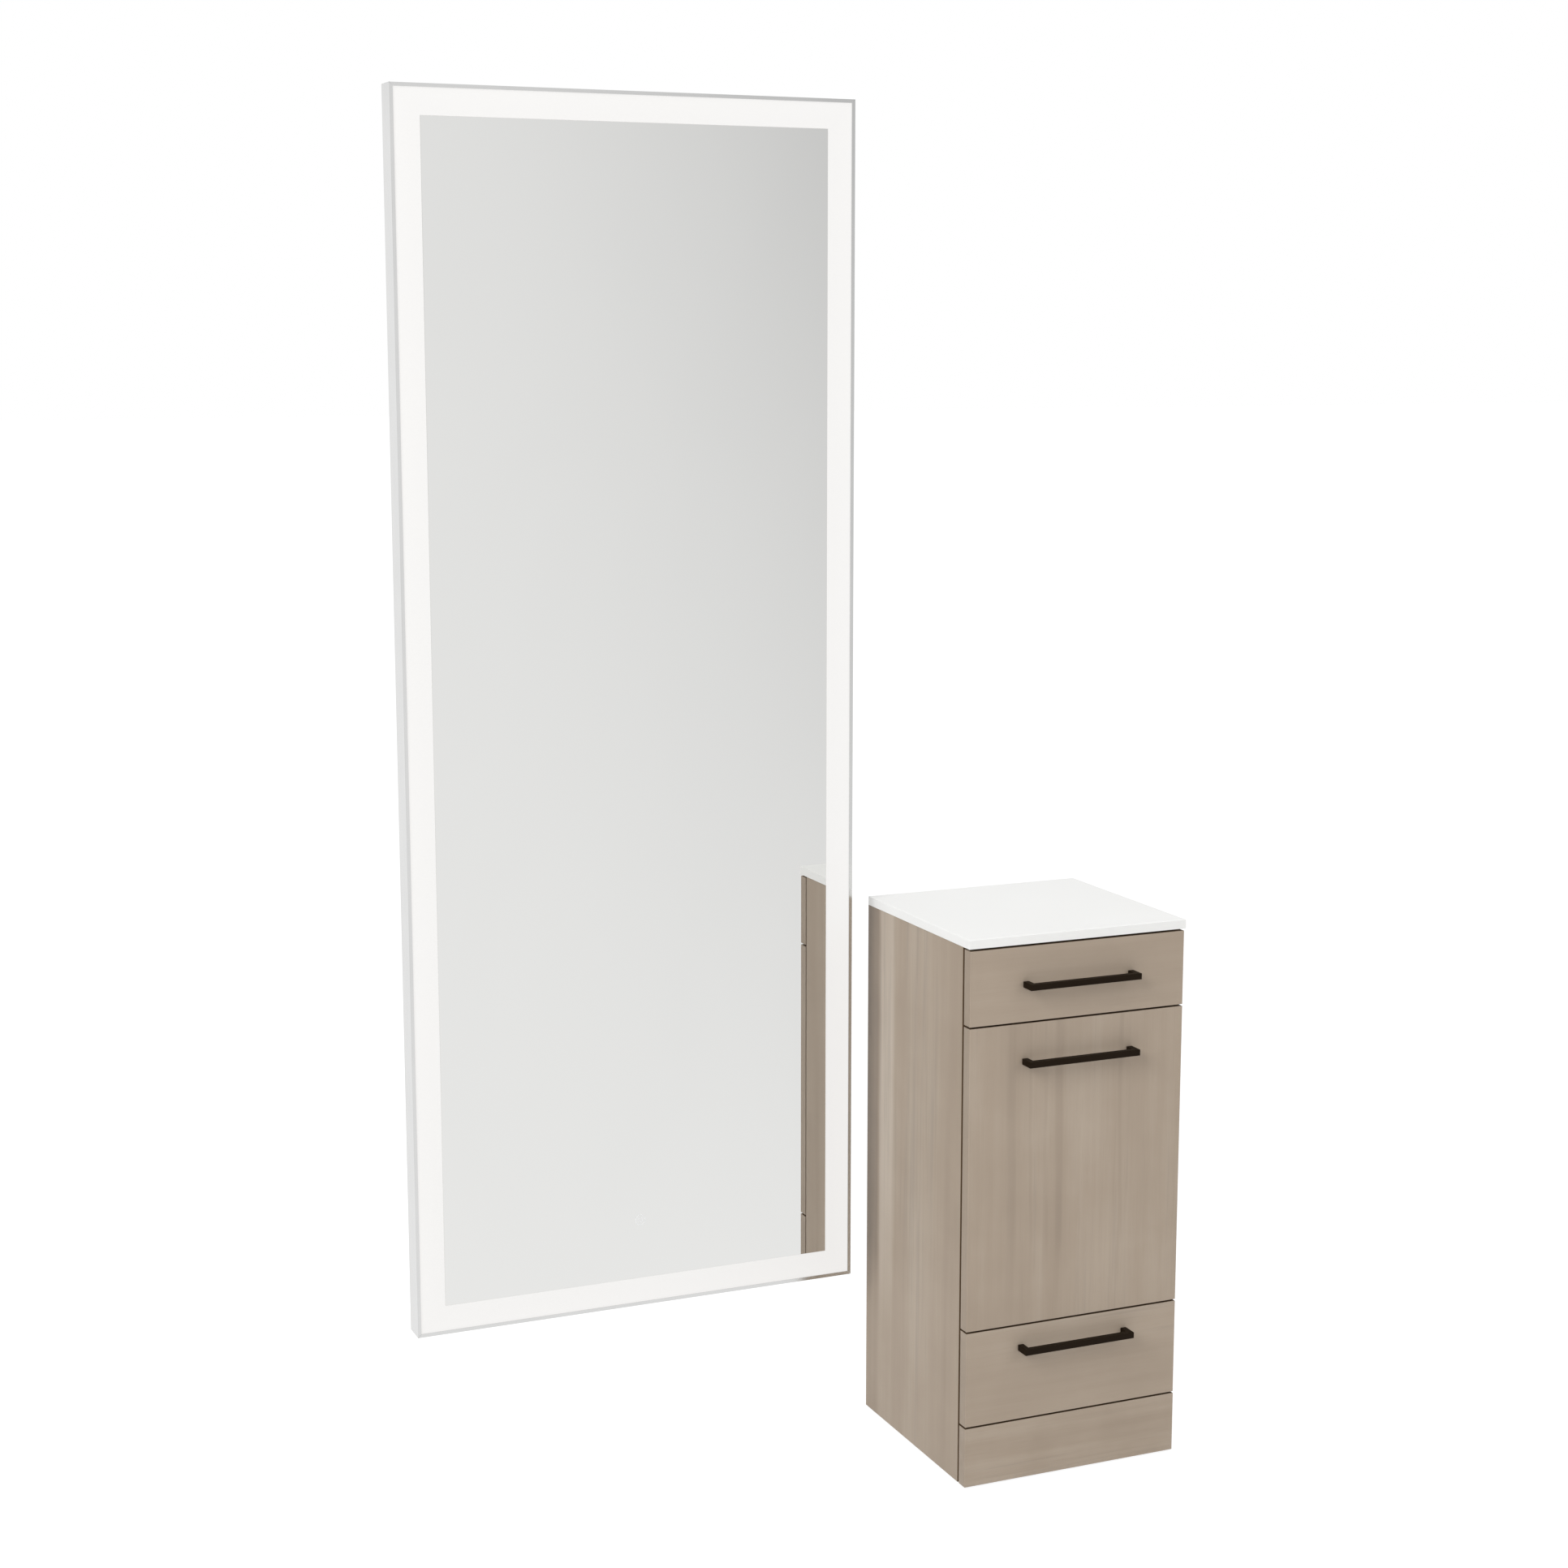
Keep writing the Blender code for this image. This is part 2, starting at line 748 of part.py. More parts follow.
def frame_rail(name, length, place, turn):
    """One mitred extrusion: a lip, a shelf behind the glazing, a flange for the rear panel, a wall."""
    shelf_front = glazing_depths()[1] + GAP
    shelf_back = shelf_front + rail_lip_thickness
    flange_back = mirror_depth - rail_back_setback
    flange_front = flange_back - rail_lip_thickness
    outline = [
        (0, 0),
        (rail_lip, 0),
        (rail_lip, rail_lip_thickness),
        (rail_wall, rail_lip_thickness),
        (rail_wall, shelf_front),
        (rail_shelf, shelf_front),
        (rail_shelf, shelf_back),
        (rail_wall, shelf_back),
        (rail_wall, flange_front),
        (rail_back_flange, flange_front),
        (rail_back_flange, flange_back),
        (rail_wall, flange_back),
        (rail_wall, mirror_depth),
        (0, mirror_depth),
    ]
    mesh = extruded_mesh(name, [outline], length)
    shape = bmesh.new()
    shape.from_mesh(mesh)
    for end in (-1, 1):
        bmesh.ops.bisect_plane(
            shape,
            geom=[*shape.verts, *shape.edges, *shape.faces],
            plane_co=(0, 0, end * (length / 2 - GAP / 2)),
            plane_no=(1, 0, end),
            clear_outer=True,
        )
        rim = [edge for edge in shape.edges if edge.is_boundary]
        bmesh.ops.triangle_fill(shape, edges=rim, use_beauty=True)
    bmesh.ops.recalc_face_normals(shape, faces=shape.faces)
    shape.to_mesh(mesh)
    shape.free()
    piece(name, mesh, aluminium, place, None, turn)


def upright_ring(name, outer, hole, depth, middle, material):
    """A rectangular ring in the plane of the wall."""
    mesh = extruded_mesh(name, [rectangle(*outer), rectangle(*hole)], depth)
    return piece(name, mesh, material, middle, None, (90, 0, 0))


def mirror():
    middle_z = mirror_floor_height + mirror_height / 2
    rails = (
        ("left", mirror_height, (mirror_left, middle_z), 0),
        ("right", mirror_height, (mirror_left + mirror_width, middle_z), 180),
        ("top", mirror_width, (mirror_middle, mirror_top), 90),
        ("bottom", mirror_width, (mirror_middle, mirror_floor_height), -90),
    )
    for side, length, (x, z), turn in rails:
        frame_rail(f"frame_rail_{side}", length, (x, mirror_front_y, z), (0, turn, 0))

    start, end = glazing_depths()
    inset = rail_wall + RUNNING_GAP
    pane_inset = rail_lip + band_width
    pane_size = (mirror_width - 2 * pane_inset, mirror_height - 2 * pane_inset)
    band_size = (mirror_width - 2 * inset, mirror_height - 2 * inset)
    hole = [size - 2 * band_ledge_width for size in pane_size]
    band_middle = (mirror_middle, mirror_front_y + (start + end) / 2, middle_z)
    band = upright_ring("light_band", band_size, hole, end - start, band_middle, opal)
    pane_front = mirror_front_y + start
    pane_back = pane_front + pane_thickness
    half_x = pane_size[0] / 2
    half_z = pane_size[1] / 2
    rebate = box_cutter(
        "pane_rebate",
        (mirror_middle - half_x, pane_front - pane_thickness, middle_z - half_z),
        (mirror_middle + half_x, pane_back + GAP, middle_z + half_z),
    )
    cut(band, rebate)
    panel(
        "mirror_pane",
        (mirror_middle - half_x + GAP, pane_front, middle_z - half_z + GAP),
        (mirror_middle + half_x - GAP, pane_back, middle_z + half_z - GAP),
        silvered,
        edge=GAP,
    )
    sensor_z = middle_z - half_z + sensor_height
    sensor = rod_mesh("touch_sensor", sensor_radius, sensor_thickness)
    sensor_y = pane_back + GAP + sensor_thickness / 2
    piece("touch_sensor", sensor, black_plastic, (mirror_middle, sensor_y, sensor_z), None, (90, 0, 0))

    strip_outer = [size - 2 * (rail_wall + GAP) for size in (mirror_width, mirror_height)]
    strip_hole = [size - 2 * strip_thickness for size in strip_outer]
    strip_y = mirror_front_y + strip_depth + strip_width / 2
    strip_middle = (mirror_middle, strip_y, middle_z)
    upright_ring("led_strip", strip_outer, strip_hole, strip_width, strip_middle, strip_finish)


# Behind the mirror
def cleat(name, outline, length, place):
    mesh = extruded_mesh(name, [outline], length)
    piece(name, mesh, aluminium, place, None, (90, 0, 90))


def mirror_back():
    panel_y = mirror_back_y - rail_back_setback + GAP
    back_y = panel_y + rear_panel_thickness
    inset = rail_wall + RUNNING_GAP
    rear = panel(
        "rear_panel",
        (mirror_left + inset, panel_y, mirror_floor_height + inset),
        (mirror_left + mirror_width - inset, back_y, mirror_top - inset),
        pan_steel,
        edge=GAP,
    )
    gland_z = mirror_floor_height + gland_height
    hole = rod_mesh("gland_hole", gland_neck_radius + GAP, 10 * rear_panel_thickness)
    cut(rear, helper("gland_hole", hole, (mirror_middle, panel_y, gland_z), (90, 0, 0)))
    half = rear_panel_thickness / 2 + GAP
    tip = half + gland_flange
    profile = [
        (gland_bore_radius, tip),
        (gland_radius, tip),
        (gland_radius, half),
        (gland_neck_radius, half),
        (gland_neck_radius, -half),
        (gland_radius, -half),
        (gland_radius, -tip),
        (gland_bore_radius, -tip),
    ]
    gland = turned_mesh("cable_gland", profile, 24, closed=True)
    gland_y = panel_y + rear_panel_thickness / 2
    piece("cable_gland", gland, black_plastic, (mirror_middle, gland_y, gland_z), None, (90, 0, 0))

    driver_z = mirror_floor_height + driver_height
    panel(
        "led_driver",
        (mirror_middle - driver_length / 2, panel_y - GAP - driver_thickness, driver_z - driver_width / 2),
        (mirror_middle + driver_length / 2, panel_y - GAP, driver_z + driver_width / 2),
        driver_finish,
        edge=2 * MM,
        segments=2,
    )

    room = wall_y - back_y - GAP
    wall_lip = cleat_sheet + RUNNING_GAP
    hook_front = wall_lip + cleat_sheet + RUNNING_GAP
    hook_back = hook_front + cleat_sheet
    shelf = -cleat_hook - GAP
    hanger = [
        (0, 0),
        (hook_front, 0),
        (hook_front, -cleat_hook),
        (hook_back, -cleat_hook),
        (hook_back, cleat_sheet),
        (cleat_sheet, cleat_sheet),
        (cleat_sheet, cleat_plate),
        (0, cleat_plate),
    ]
    holder = [
        (wall_lip, -RUNNING_GAP),
        (wall_lip, shelf - cleat_sheet),
        (room - cleat_sheet, shelf - cleat_sheet),
        (room - cleat_sheet, shelf - cleat_plate),
        (room, shelf - cleat_plate),
        (room, shelf),
        (wall_lip + cleat_sheet, shelf),
        (wall_lip + cleat_sheet, -RUNNING_GAP),
    ]
    place = (mirror_middle, back_y + GAP, mirror_top - cleat_drop)
    cleat("hanger_cleat", hanger, cleat_length, place)
    cleat("wall_cleat", holder, cleat_length - cleat_plate, place)


carcass()
drawer(
    "top_drawer",
    upper_joint + joint_gap / 2,
    worktop_bottom - top_gap,
    upper_joint + board / 2 + drawer_floor_clearance,
    carcass_top - board - drawer_head_clearance,
    (upper_joint + joint_gap / 2 + worktop_bottom - top_gap) / 2,
)
drawer(
    "bottom_drawer",
    plinth_joint + joint_gap / 2,
    lower_joint - joint_gap / 2,
    plinth_joint + drawer_floor_clearance,
    lower_joint - board / 2 - drawer_head_clearance,
    lower_joint - joint_gap / 2 - bottom_pull_drop,
)
tool_bin()
casters()
mirror()
mirror_back()
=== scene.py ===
# %% [markdown]
# # Dressing a mobile styling station
# A tall lit mirror hangs on a wall, and a narrow cabinet on hidden casters stands beside it. Every solid
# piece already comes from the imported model. What is left for this lesson is the finish: wood grain that runs
# the right way on each board, glass that mirrors, a border that glows, and the small hardware that a maker
# adds last. Everything is in metres, +Z up, and the wall lies at the far side, towards +Y.

# %% Load the model
import math

import bmesh
import bpy
from mathutils import Matrix, Vector


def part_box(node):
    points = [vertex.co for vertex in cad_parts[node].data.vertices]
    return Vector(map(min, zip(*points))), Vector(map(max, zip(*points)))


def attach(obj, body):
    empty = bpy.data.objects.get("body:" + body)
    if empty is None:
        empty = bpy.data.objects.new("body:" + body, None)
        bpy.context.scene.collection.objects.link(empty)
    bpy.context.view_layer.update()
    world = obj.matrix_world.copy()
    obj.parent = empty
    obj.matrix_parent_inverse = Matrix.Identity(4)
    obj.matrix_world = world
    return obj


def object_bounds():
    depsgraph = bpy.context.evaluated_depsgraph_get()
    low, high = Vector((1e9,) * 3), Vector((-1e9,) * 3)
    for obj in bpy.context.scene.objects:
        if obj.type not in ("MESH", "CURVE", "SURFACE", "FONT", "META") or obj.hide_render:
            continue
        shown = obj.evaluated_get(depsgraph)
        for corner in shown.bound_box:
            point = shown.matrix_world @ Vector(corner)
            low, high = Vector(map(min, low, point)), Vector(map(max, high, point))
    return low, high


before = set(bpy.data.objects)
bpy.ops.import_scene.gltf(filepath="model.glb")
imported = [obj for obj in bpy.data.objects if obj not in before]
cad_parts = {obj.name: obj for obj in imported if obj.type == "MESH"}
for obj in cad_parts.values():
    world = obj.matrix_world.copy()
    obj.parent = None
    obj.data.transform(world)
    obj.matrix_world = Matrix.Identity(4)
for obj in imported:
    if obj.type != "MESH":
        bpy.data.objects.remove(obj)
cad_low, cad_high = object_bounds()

MM = 0.001
print("pieces", len(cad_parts), "box", [round(v, 4) for v in (*cad_low, *cad_high)])

# %% [markdown]
# ## The camera
# The photograph was solved for its camera: the straight edges of the cabinet and the mirror give the
# distance, the height and the tilt. A lens of about 62 mm on a 36 mm sensor, 1.85 m above the floor, looks
# slightly down and to the right. Lens and sensor are in millimetres here, as Blender has them, the place is
# in metres and the angles are in radians.

# %% Camera
LENS = 61.77
SENSOR_WIDTH = 36
CAMERA_PLACE = (-1.69837, -3.85334, 1.84842)
TILT_DOWN = 0.16398
TURN_RIGHT = 0.40798
FAR_LIMIT = 200
camera_data = bpy.data.cameras.new("photo_camera")
camera_data.lens = LENS
camera_data.sensor_width = SENSOR_WIDTH
camera_data.clip_end = FAR_LIMIT
camera = bpy.data.objects.new("photo_camera", camera_data)
camera.location = CAMERA_PLACE
camera.rotation_euler = (math.pi / 2 - TILT_DOWN, 0, -TURN_RIGHT)
bpy.context.scene.collection.objects.link(camera)
bpy.context.scene.camera = camera
bpy.context.scene.view_settings.view_transform = "Standard"
print("camera", tuple(round(v, 3) for v in camera.location))

# %% [markdown]
# ## Shader maths that reads like Python
# A material is a graph of nodes. Wiring it by hand is slow to read, so one small class stands for the
# output of a node, and adding or multiplying two of them adds the Math node that does so. Each operator has
# its reflected form too, so that a plain number may stand on the left, as in 1 - mask.


# %% Wires
class Wire:
    """The output of a node. It adds, subtracts, multiplies and divides like a number."""

    def __init__(self, finish, socket):
        self.finish = finish
        self.socket = socket

    def __add__(self, other):
        return self.finish.maths("ADD", self, other)

    def __radd__(self, other):
        return self.finish.maths("ADD", other, self)

    def __sub__(self, other):
        return self.finish.maths("SUBTRACT", self, other)

    def __rsub__(self, other):
        return self.finish.maths("SUBTRACT", other, self)

    def __mul__(self, other):
        return self.finish.maths("MULTIPLY", self, other)

    def __rmul__(self, other):
        return self.finish.maths("MULTIPLY", other, self)

    def __truediv__(self, other):
        return self.finish.maths("DIVIDE", self, other)

    def __rtruediv__(self, other):
        return self.finish.maths("DIVIDE", other, self)


# %% [markdown]
# ## One object for each graph
# The second class holds the graph of a material, or of the world. Its method node makes any node from its
# type, its settings and what goes into its sockets. The other methods are short names for the nodes that
# every finish here uses. A node that works on several types of data has sockets for each of them under the
# same names, so those of the Mix and Map Range nodes are called by number.

# %% Finishes
MIX_FACTOR, MIX_FIRST, MIX_SECOND, MIX_RESULT = 0, 6, 7, 2
FROM_LOW, FROM_HIGH, TO_START, TO_END = 1, 2, 3, 4
GENERATED, OBJECT = 0, 3
SECOND_OUTPUT = 1


class Finish:
    """A graph of shader nodes, for a material or for the world."""

    def __init__(self, owner):
        owner.use_nodes = True
        self.owner = owner
        self.tree = owner.node_tree
        self.tree.nodes.clear()

    def node(self, kind, settings=None, sockets=None, output=0):
        """One node. Its settings come first, then a value or a wire for each of its sockets."""
        made = self.tree.nodes.new("ShaderNode" + kind)
        for name, value in (settings or {}).items():
            if name == "stops":
                self.set_stops(made.color_ramp, value)
            else:
                setattr(made, name, value)
        for name, value in (sockets or {}).items():
            if isinstance(value, Wire):
                self.tree.links.new(value.socket, made.inputs[name])
            else:
                made.inputs[name].default_value = value
        return Wire(self, made.outputs[output]) if len(made.outputs) else made

    def set_stops(self, ramp, stops):
        """Each stop is a place on the ramp and a grey level or a colour."""
        while len(ramp.elements) < len(stops):
            ramp.elements.new(1)
        for element, (place, level) in zip(ramp.elements, stops):
            element.position = place
            element.color = (*level, 1) if isinstance(level, tuple) else (level, level, level, 1)

    def maths(self, operation, *values, clamp=False):
        settings = {"operation": operation, "use_clamp": clamp}
        return self.node("Math", settings, dict(enumerate(values)))

    def blend(self, factor, first, second):
        """A colour part way from the first to the second."""
        sockets = {MIX_FACTOR: factor, MIX_FIRST: with_alpha(first), MIX_SECOND: with_alpha(second)}
        return self.node("Mix", {"data_type": "RGBA"}, sockets, MIX_RESULT)

    def place(self, scale=(1, 1, 1), shift=(0, 0, 0)):
        """Where a point of the object lies, in metres, shifted and then stretched."""
        point = self.node("TexCoord", output=OBJECT)
        moved = self.node("VectorMath", {"operation": "ADD"}, {0: point, 1: shift})
        return self.node("VectorMath", {"operation": "MULTIPLY"}, {0: moved, 1: scale})

    def parts(self, vector):
        """The x, y and z of a vector."""
        split = self.tree.nodes.new("ShaderNodeSeparateXYZ")
        self.tree.links.new(vector.socket, split.inputs[0])
        return [Wire(self, socket) for socket in split.outputs]

    def noise(self, place, scale=1.0, detail=3.0, roughness=0.5, distortion=0.0):
        """Soft cloudy levels from 0 to 1, about a half on average."""
        sockets = {
            "Vector": place,
            "Scale": scale,
            "Detail": detail,
            "Roughness": roughness,
            "Distortion": distortion,
        }
        return self.node("TexNoise", None, sockets)

    def ramp(self, factor, *stops):
        return self.node("ValToRGB", {"stops": stops}, {0: factor})

    def spread(self, factor, low, high, start=0.0, end=1.0):
        """Maps a value between low and high to one between start and end, easing in and out."""
        sockets = {"Value": factor, FROM_LOW: low, FROM_HIGH: high, TO_START: start, TO_END: end}
        return self.node("MapRange", {"clamp": True, "interpolation_type": "SMOOTHSTEP"}, sockets)

    def bump(self, height, depth, strength=1.0):
        """Turns a height from 0 to 1 into a dent of that depth in metres."""
        return self.node("Bump", None, {"Strength": strength, "Distance": depth, "Height": height})

    def surface(self, **sockets):
        """Closes the material with a Principled shader. Words in a socket's name are joined by _."""
        named = {name.replace("_", " "): value for name, value in sockets.items()}
        shader = self.node("BsdfPrincipled", None, named)
        self.node("OutputMaterial", None, {"Surface": shader})
        return self.owner


def with_alpha(value):
    return (*value, 1) if isinstance(value, tuple) and len(value) == 3 else value


def new_finish(name):
    return Finish(bpy.data.materials.new(name))


def dress(node, material):
    """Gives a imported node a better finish."""
    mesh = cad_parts[node].data
    mesh.materials.clear()
    mesh.materials.append(material)
    print(node, "is finished in", material.name)


# %% [markdown]
# ## Wood-grain laminate
# The cabinet is board faced with a printed wood decor. Real veneer has broad soft bands, narrower streaks,
# thin dark threads and fine fibres, all far longer than they are wide. Each of them is a noise that is
# squeezed across the grain. The drawer fronts and the plinth lie across, the tall front and the sides stand
# up, so the direction of the grain is an argument. The print has five browns, from its pores to its palest
# streak, and a grey that its veins lean to.

# %% Grain
DEEP_GRAIN = (0.232, 0.184, 0.142)
DARK_GRAIN = (0.318, 0.252, 0.192)
MIDDLE_GRAIN = (0.372, 0.300, 0.232)
LIGHT_GRAIN = (0.436, 0.364, 0.292)
PALE_GRAIN = (0.505, 0.432, 0.356)
VEIN_GREY = (0.235, 0.205, 0.175)
GRAIN_STOPS = (
    (0.22, DEEP_GRAIN),
    (0.36, DARK_GRAIN),
    (0.50, MIDDLE_GRAIN),
    (0.64, LIGHT_GRAIN),
    (0.78, PALE_GRAIN),
)
# Waves in a metre, across the grain and along it.
BANDS = (9, 0.8)
STREAKS = (46, 1.5)
THREADS = (110, 2.6)
FIBRES = (900, 14)
CLOUDS = (7, 7, 7)


def stretched(across, along, grain):
    """A scale for each axis: many waves in a metre across the grain, few along it."""
    return tuple(along if axis == grain else across for axis in "XYZ")


print("grain from", stretched(*BANDS, "Z"), "to", stretched(*FIBRES, "Z"), "waves in a metre")

# %% [markdown]
# ## Stripes with a place
# Two boards show a few stripes that the eye picks out, such as the dark one at the rear of the left side
# with a pale one before it. A noise wouldn't put them there, so each has a place of its own. A slow bend
# and the streaks make its edges waver, it thins out in patches, and it fades towards the floor.

# %% Stripes
FIGURES = {
    "side_left": {
        "axis": "Y",
        "waver": 0.3,
        "thinnest": 0.85,
        "fade": (150 * MM, 330 * MM),
        "greying": 0.0,
        "stripes": ((208, 44, 60, -0.26), (128, 17, 35, 0.19), (58, 8, 26, -0.05), (-150, 20, 120, -0.04)),
    },
    "tilt_front": {
        "axis": "X",
        "waver": 0.5,
        "thinnest": 0.35,
        "fade": (250 * MM, 420 * MM),
        "greying": -2.0,
        "stripes": (
            (289, 3, 10, -0.045),
            (325, 1, 5, -0.035),
            (352, 1, 5, -0.035),
            (376, 3, 9, -0.055),
            (430, 25, 55, 0.02),
            (490, 1, 6, -0.05),
        ),
    },
}
STREAK_WOBBLE = 30 * MM
BEND_WOBBLE = 50 * MM
LOW_DOWN = 0.25
THICKEST = 1.1


def stripes_on(wood, streaks, figure):
    """Each stripe has a middle, the half widths of its core and its whole, in mm, and a lift."""
    bend = wood.noise(wood.place((2, 2, 3.5)), detail=2)
    wobble = ((streaks - 0.5) * STREAK_WOBBLE + (bend - 0.5) * BEND_WOBBLE) * figure["waver"]
    east, north, height = wood.parts(wood.place())
    along = (north if figure["axis"] == "Y" else east) + wobble
    patches = wood.noise(wood.place((3, 3, 5)), detail=3)
    thinning = wood.spread(patches, 0.3, 0.6, figure["thinnest"], THICKEST)
    fade = wood.spread(height, *figure["fade"], LOW_DOWN, 1.0) * thinning
    total = 0.0
    for middle, core, whole, lift in figure["stripes"]:
        away = wood.maths("ABSOLUTE", along - middle * MM)
        total = wood.spread(away, core * MM, whole * MM, lift, 0.0) + total
    return total * fade


print("boards with stripes", ", ".join(FIGURES))

# %% [markdown]
# ## Painted shade in the joints
# A board's cut edges are closed with a band. Here the band is painted a dark brown, as painted shade for the
# narrow gaps, so every joint between two fronts, and between a front and the carcass, reads as one thin brown
# line. On a front the painted band is behind the rounded face, round all four sides: nearly solid brown on the
# top and bottom, and only a darker grain on the sides. On a carcass board it is the edge that looks forwards.
# The back board and the stop rail have no edge in a joint, and keep their grain all over.

# %% Edge bands
# Painted shade: the dark brown of the edges in the joints, for the shade in the narrow gaps.
JOINT_SHADE_BROWN = (0.100, 0.062, 0.030)
ROUNDING = 0.4 * MM
HAIR = 0.1 * MM
FRONTS = ("top_drawer_front", "tilt_front", "bottom_drawer_front", "plinth_panel")
PLAIN_EDGES = ("back_panel", "tilt_stop_rail")


def painted_joint_shade(wood, node):
    """How much of a board is painted shade on an edge in a joint, along its ends and along its sides."""
    low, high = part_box(node)
    east, north, up = wood.parts(wood.place())
    behind_face = (north, low.y + ROUNDING, low.y + ROUNDING + HAIR)
    if node not in FRONTS:
        return wood.spread(*behind_face, 1.0, 0.0), None
    from_ends = wood.maths("MINIMUM", up - low.z, high.z - up)
    from_sides = wood.maths("MINIMUM", east - low.x, high.x - east)
    behind = wood.spread(*behind_face)
    ends = wood.spread(from_ends, HAIR / 2, HAIR, 1.0, 0.0) * behind
    sides = wood.spread(from_sides, HAIR / 2, HAIR, 1.0, 0.0) * behind
    return ends, sides


print("fronts with bands", len(FRONTS))

# %% [markdown]
# ## The boards
# Each board has the direction of its grain, a shift and a contrast. The shift is any three numbers that keep
# neighbours from showing the same part of the print. The contrast is low on the drawer fronts, which are
# cut from a calm part of it.

# %% Boards
BOARDS = {
    "side_left": ("Z", (3.1, 0.37, 1.2), 0.7),
    "side_right": ("Z", (7.7, 2.2, 0.4), 0.9),
    "back_panel": ("Z", (1.9, 5.2, 3.3), 1.0),
    "base_deck": ("X", (0.3, 1.1, 4.9), 1.0),
    "lower_divider": ("X", (2.8, 3.0, 8.4), 1.0),
    "upper_divider": ("X", (5.5, 0.8, 6.1), 1.0),
    "sub_top": ("X", (4.4, 6.3, 2.5), 1.0),
    "tilt_stop_rail": ("X", (6.2, 7.7, 1.7), 1.0),
    "plinth_panel": ("X", (9.1, 4.2, 2.1), 1.0),
    "top_drawer_front": ("X", (2.3, 1.3, 5.2), 0.5),
    "bottom_drawer_front": ("X", (8.2, 3.5, 7.3), 0.6),
    "tilt_front": ("Z", (4.7, 1.6, 0.9), 0.7),
}
AVERAGE_FIGURE = 0.52
VEIN_DEPTH = 0.30
PORE_DEPTH = 0.30
# How much painted shade covers the ends and the sides of a front's edges.
END_SHADE_COVER = 0.95
SIDE_SHADE_COVER = 0.30


def laminate(node, grain, shift, contrast):
    wood = new_finish(f"laminate_{node}")
    bands = wood.noise(wood.place(stretched(*BANDS, grain), shift), detail=2, distortion=0.6)
    streaks = wood.noise(wood.place(stretched(*STREAKS, grain), shift), detail=5, roughness=0.6)
    fibres = wood.noise(wood.place(stretched(*FIBRES, grain), shift), detail=4, roughness=0.7)
    clouds = wood.noise(wood.place(CLOUDS, shift), detail=3)
    figure = bands * 0.42 + streaks * 0.26 + fibres * 0.06 + clouds * 0.30
    level = (figure - AVERAGE_FIGURE) * contrast + 0.5
    greying = 0.0
    if node in FIGURES:
        stripes = stripes_on(wood, streaks, FIGURES[node])
        level = level + stripes
        greying = wood.maths("MAXIMUM", stripes * FIGURES[node]["greying"], 0.0)
    threads = wood.noise(wood.place(stretched(*THREADS, grain), shift), detail=4, roughness=0.65)
    veins = wood.spread(threads * 0.6 + bands * 0.4, 0.54, 0.68)
    solid_wood = wood.ramp(fibres, (0.30, 0.0), (0.42, 1.0))
    tone = wood.blend(veins * VEIN_DEPTH + greying, wood.ramp(level, *GRAIN_STOPS), VEIN_GREY)
    tone = wood.blend(solid_wood * PORE_DEPTH + (1 - PORE_DEPTH), DARK_GRAIN, tone)
    roughness = 0.46 + fibres * 0.14
    if node not in PLAIN_EDGES:
        # Painted shade in the joints: dark brown on the ends, a darker grain on the sides.
        ends, sides = painted_joint_shade(wood, node)
        tone = wood.blend(ends * END_SHADE_COVER, tone, JOINT_SHADE_BROWN)
        roughness = roughness + ends * 0.35
        if sides:
            tone = wood.blend(sides * SIDE_SHADE_COVER, tone, DEEP_GRAIN)
    return wood.surface(
        Base_Color=tone,
        Roughness=roughness,
        Normal=wood.bump(fibres * 0.6 + streaks * 0.4, 0.05 * MM, 0.6),
        Specular_IOR_Level=0.42,
    )


for node, (grain, shift, contrast) in BOARDS.items():
    dress(node, laminate(node, grain, shift, contrast))

# %% [markdown]
# ## The slab top
# A satin white slab. It is almost even, with a very faint cloudiness and a fine stipple that breaks up its
# highlight. Its upright edges are toned down a shade, the front one most, because they face the key light
# and would otherwise clip to white. The masks are a point's height and its distance behind the front.

# %% Worktop
SLAB_DIM = (0.855, 0.855, 0.840)
SLAB_BRIGHT = (0.880, 0.880, 0.867)
SLAB_EDGE = (0.845, 0.845, 0.832)
SLAB_FRONT_EDGE = (0.805, 0.803, 0.787)
EDGE_NEAR = 0.2 * MM
EDGE_FAR = 0.7 * MM
slab = new_finish("satin_white_slab")
slab_low, slab_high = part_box("worktop")
clouding = slab.noise(slab.place((6, 6, 6)), detail=4)
stipple = slab.noise(slab.place((1800, 1800, 1800)), detail=2)
_, northward, lift = slab.parts(slab.place())
edge = slab.spread(lift, slab_high.z - EDGE_FAR, slab_high.z - EDGE_NEAR, 1.0, 0.0)
front_edge = slab.spread(northward, slab_low.y + EDGE_NEAR, slab_low.y + EDGE_FAR, 1.0, 0.0)
slab_tone = slab.blend(clouding, SLAB_DIM, SLAB_BRIGHT)
slab_tone = slab.blend(edge, slab_tone, SLAB_EDGE)
slab_tone = slab.blend(edge * front_edge, slab_tone, SLAB_FRONT_EDGE)
dress(
    "worktop",
    slab.surface(
        Base_Color=slab_tone,
        Roughness=0.34 + clouding * 0.12,
        Normal=slab.bump(stipple, 0.02 * MM, 0.5),
        Specular_IOR_Level=0.2,
    ),
)

# %% [markdown]
# ## Powder-coated pulls
# Black powder coat is not quite black and not quite flat: it is a warm, very dark brown with a texture of
# fine orange peel, a little rubbed here and there by hands.

# %% Pulls
POWDER_DARK = (0.0095, 0.0052, 0.0022)
POWDER_RUBBED = (0.0150, 0.0088, 0.0042)
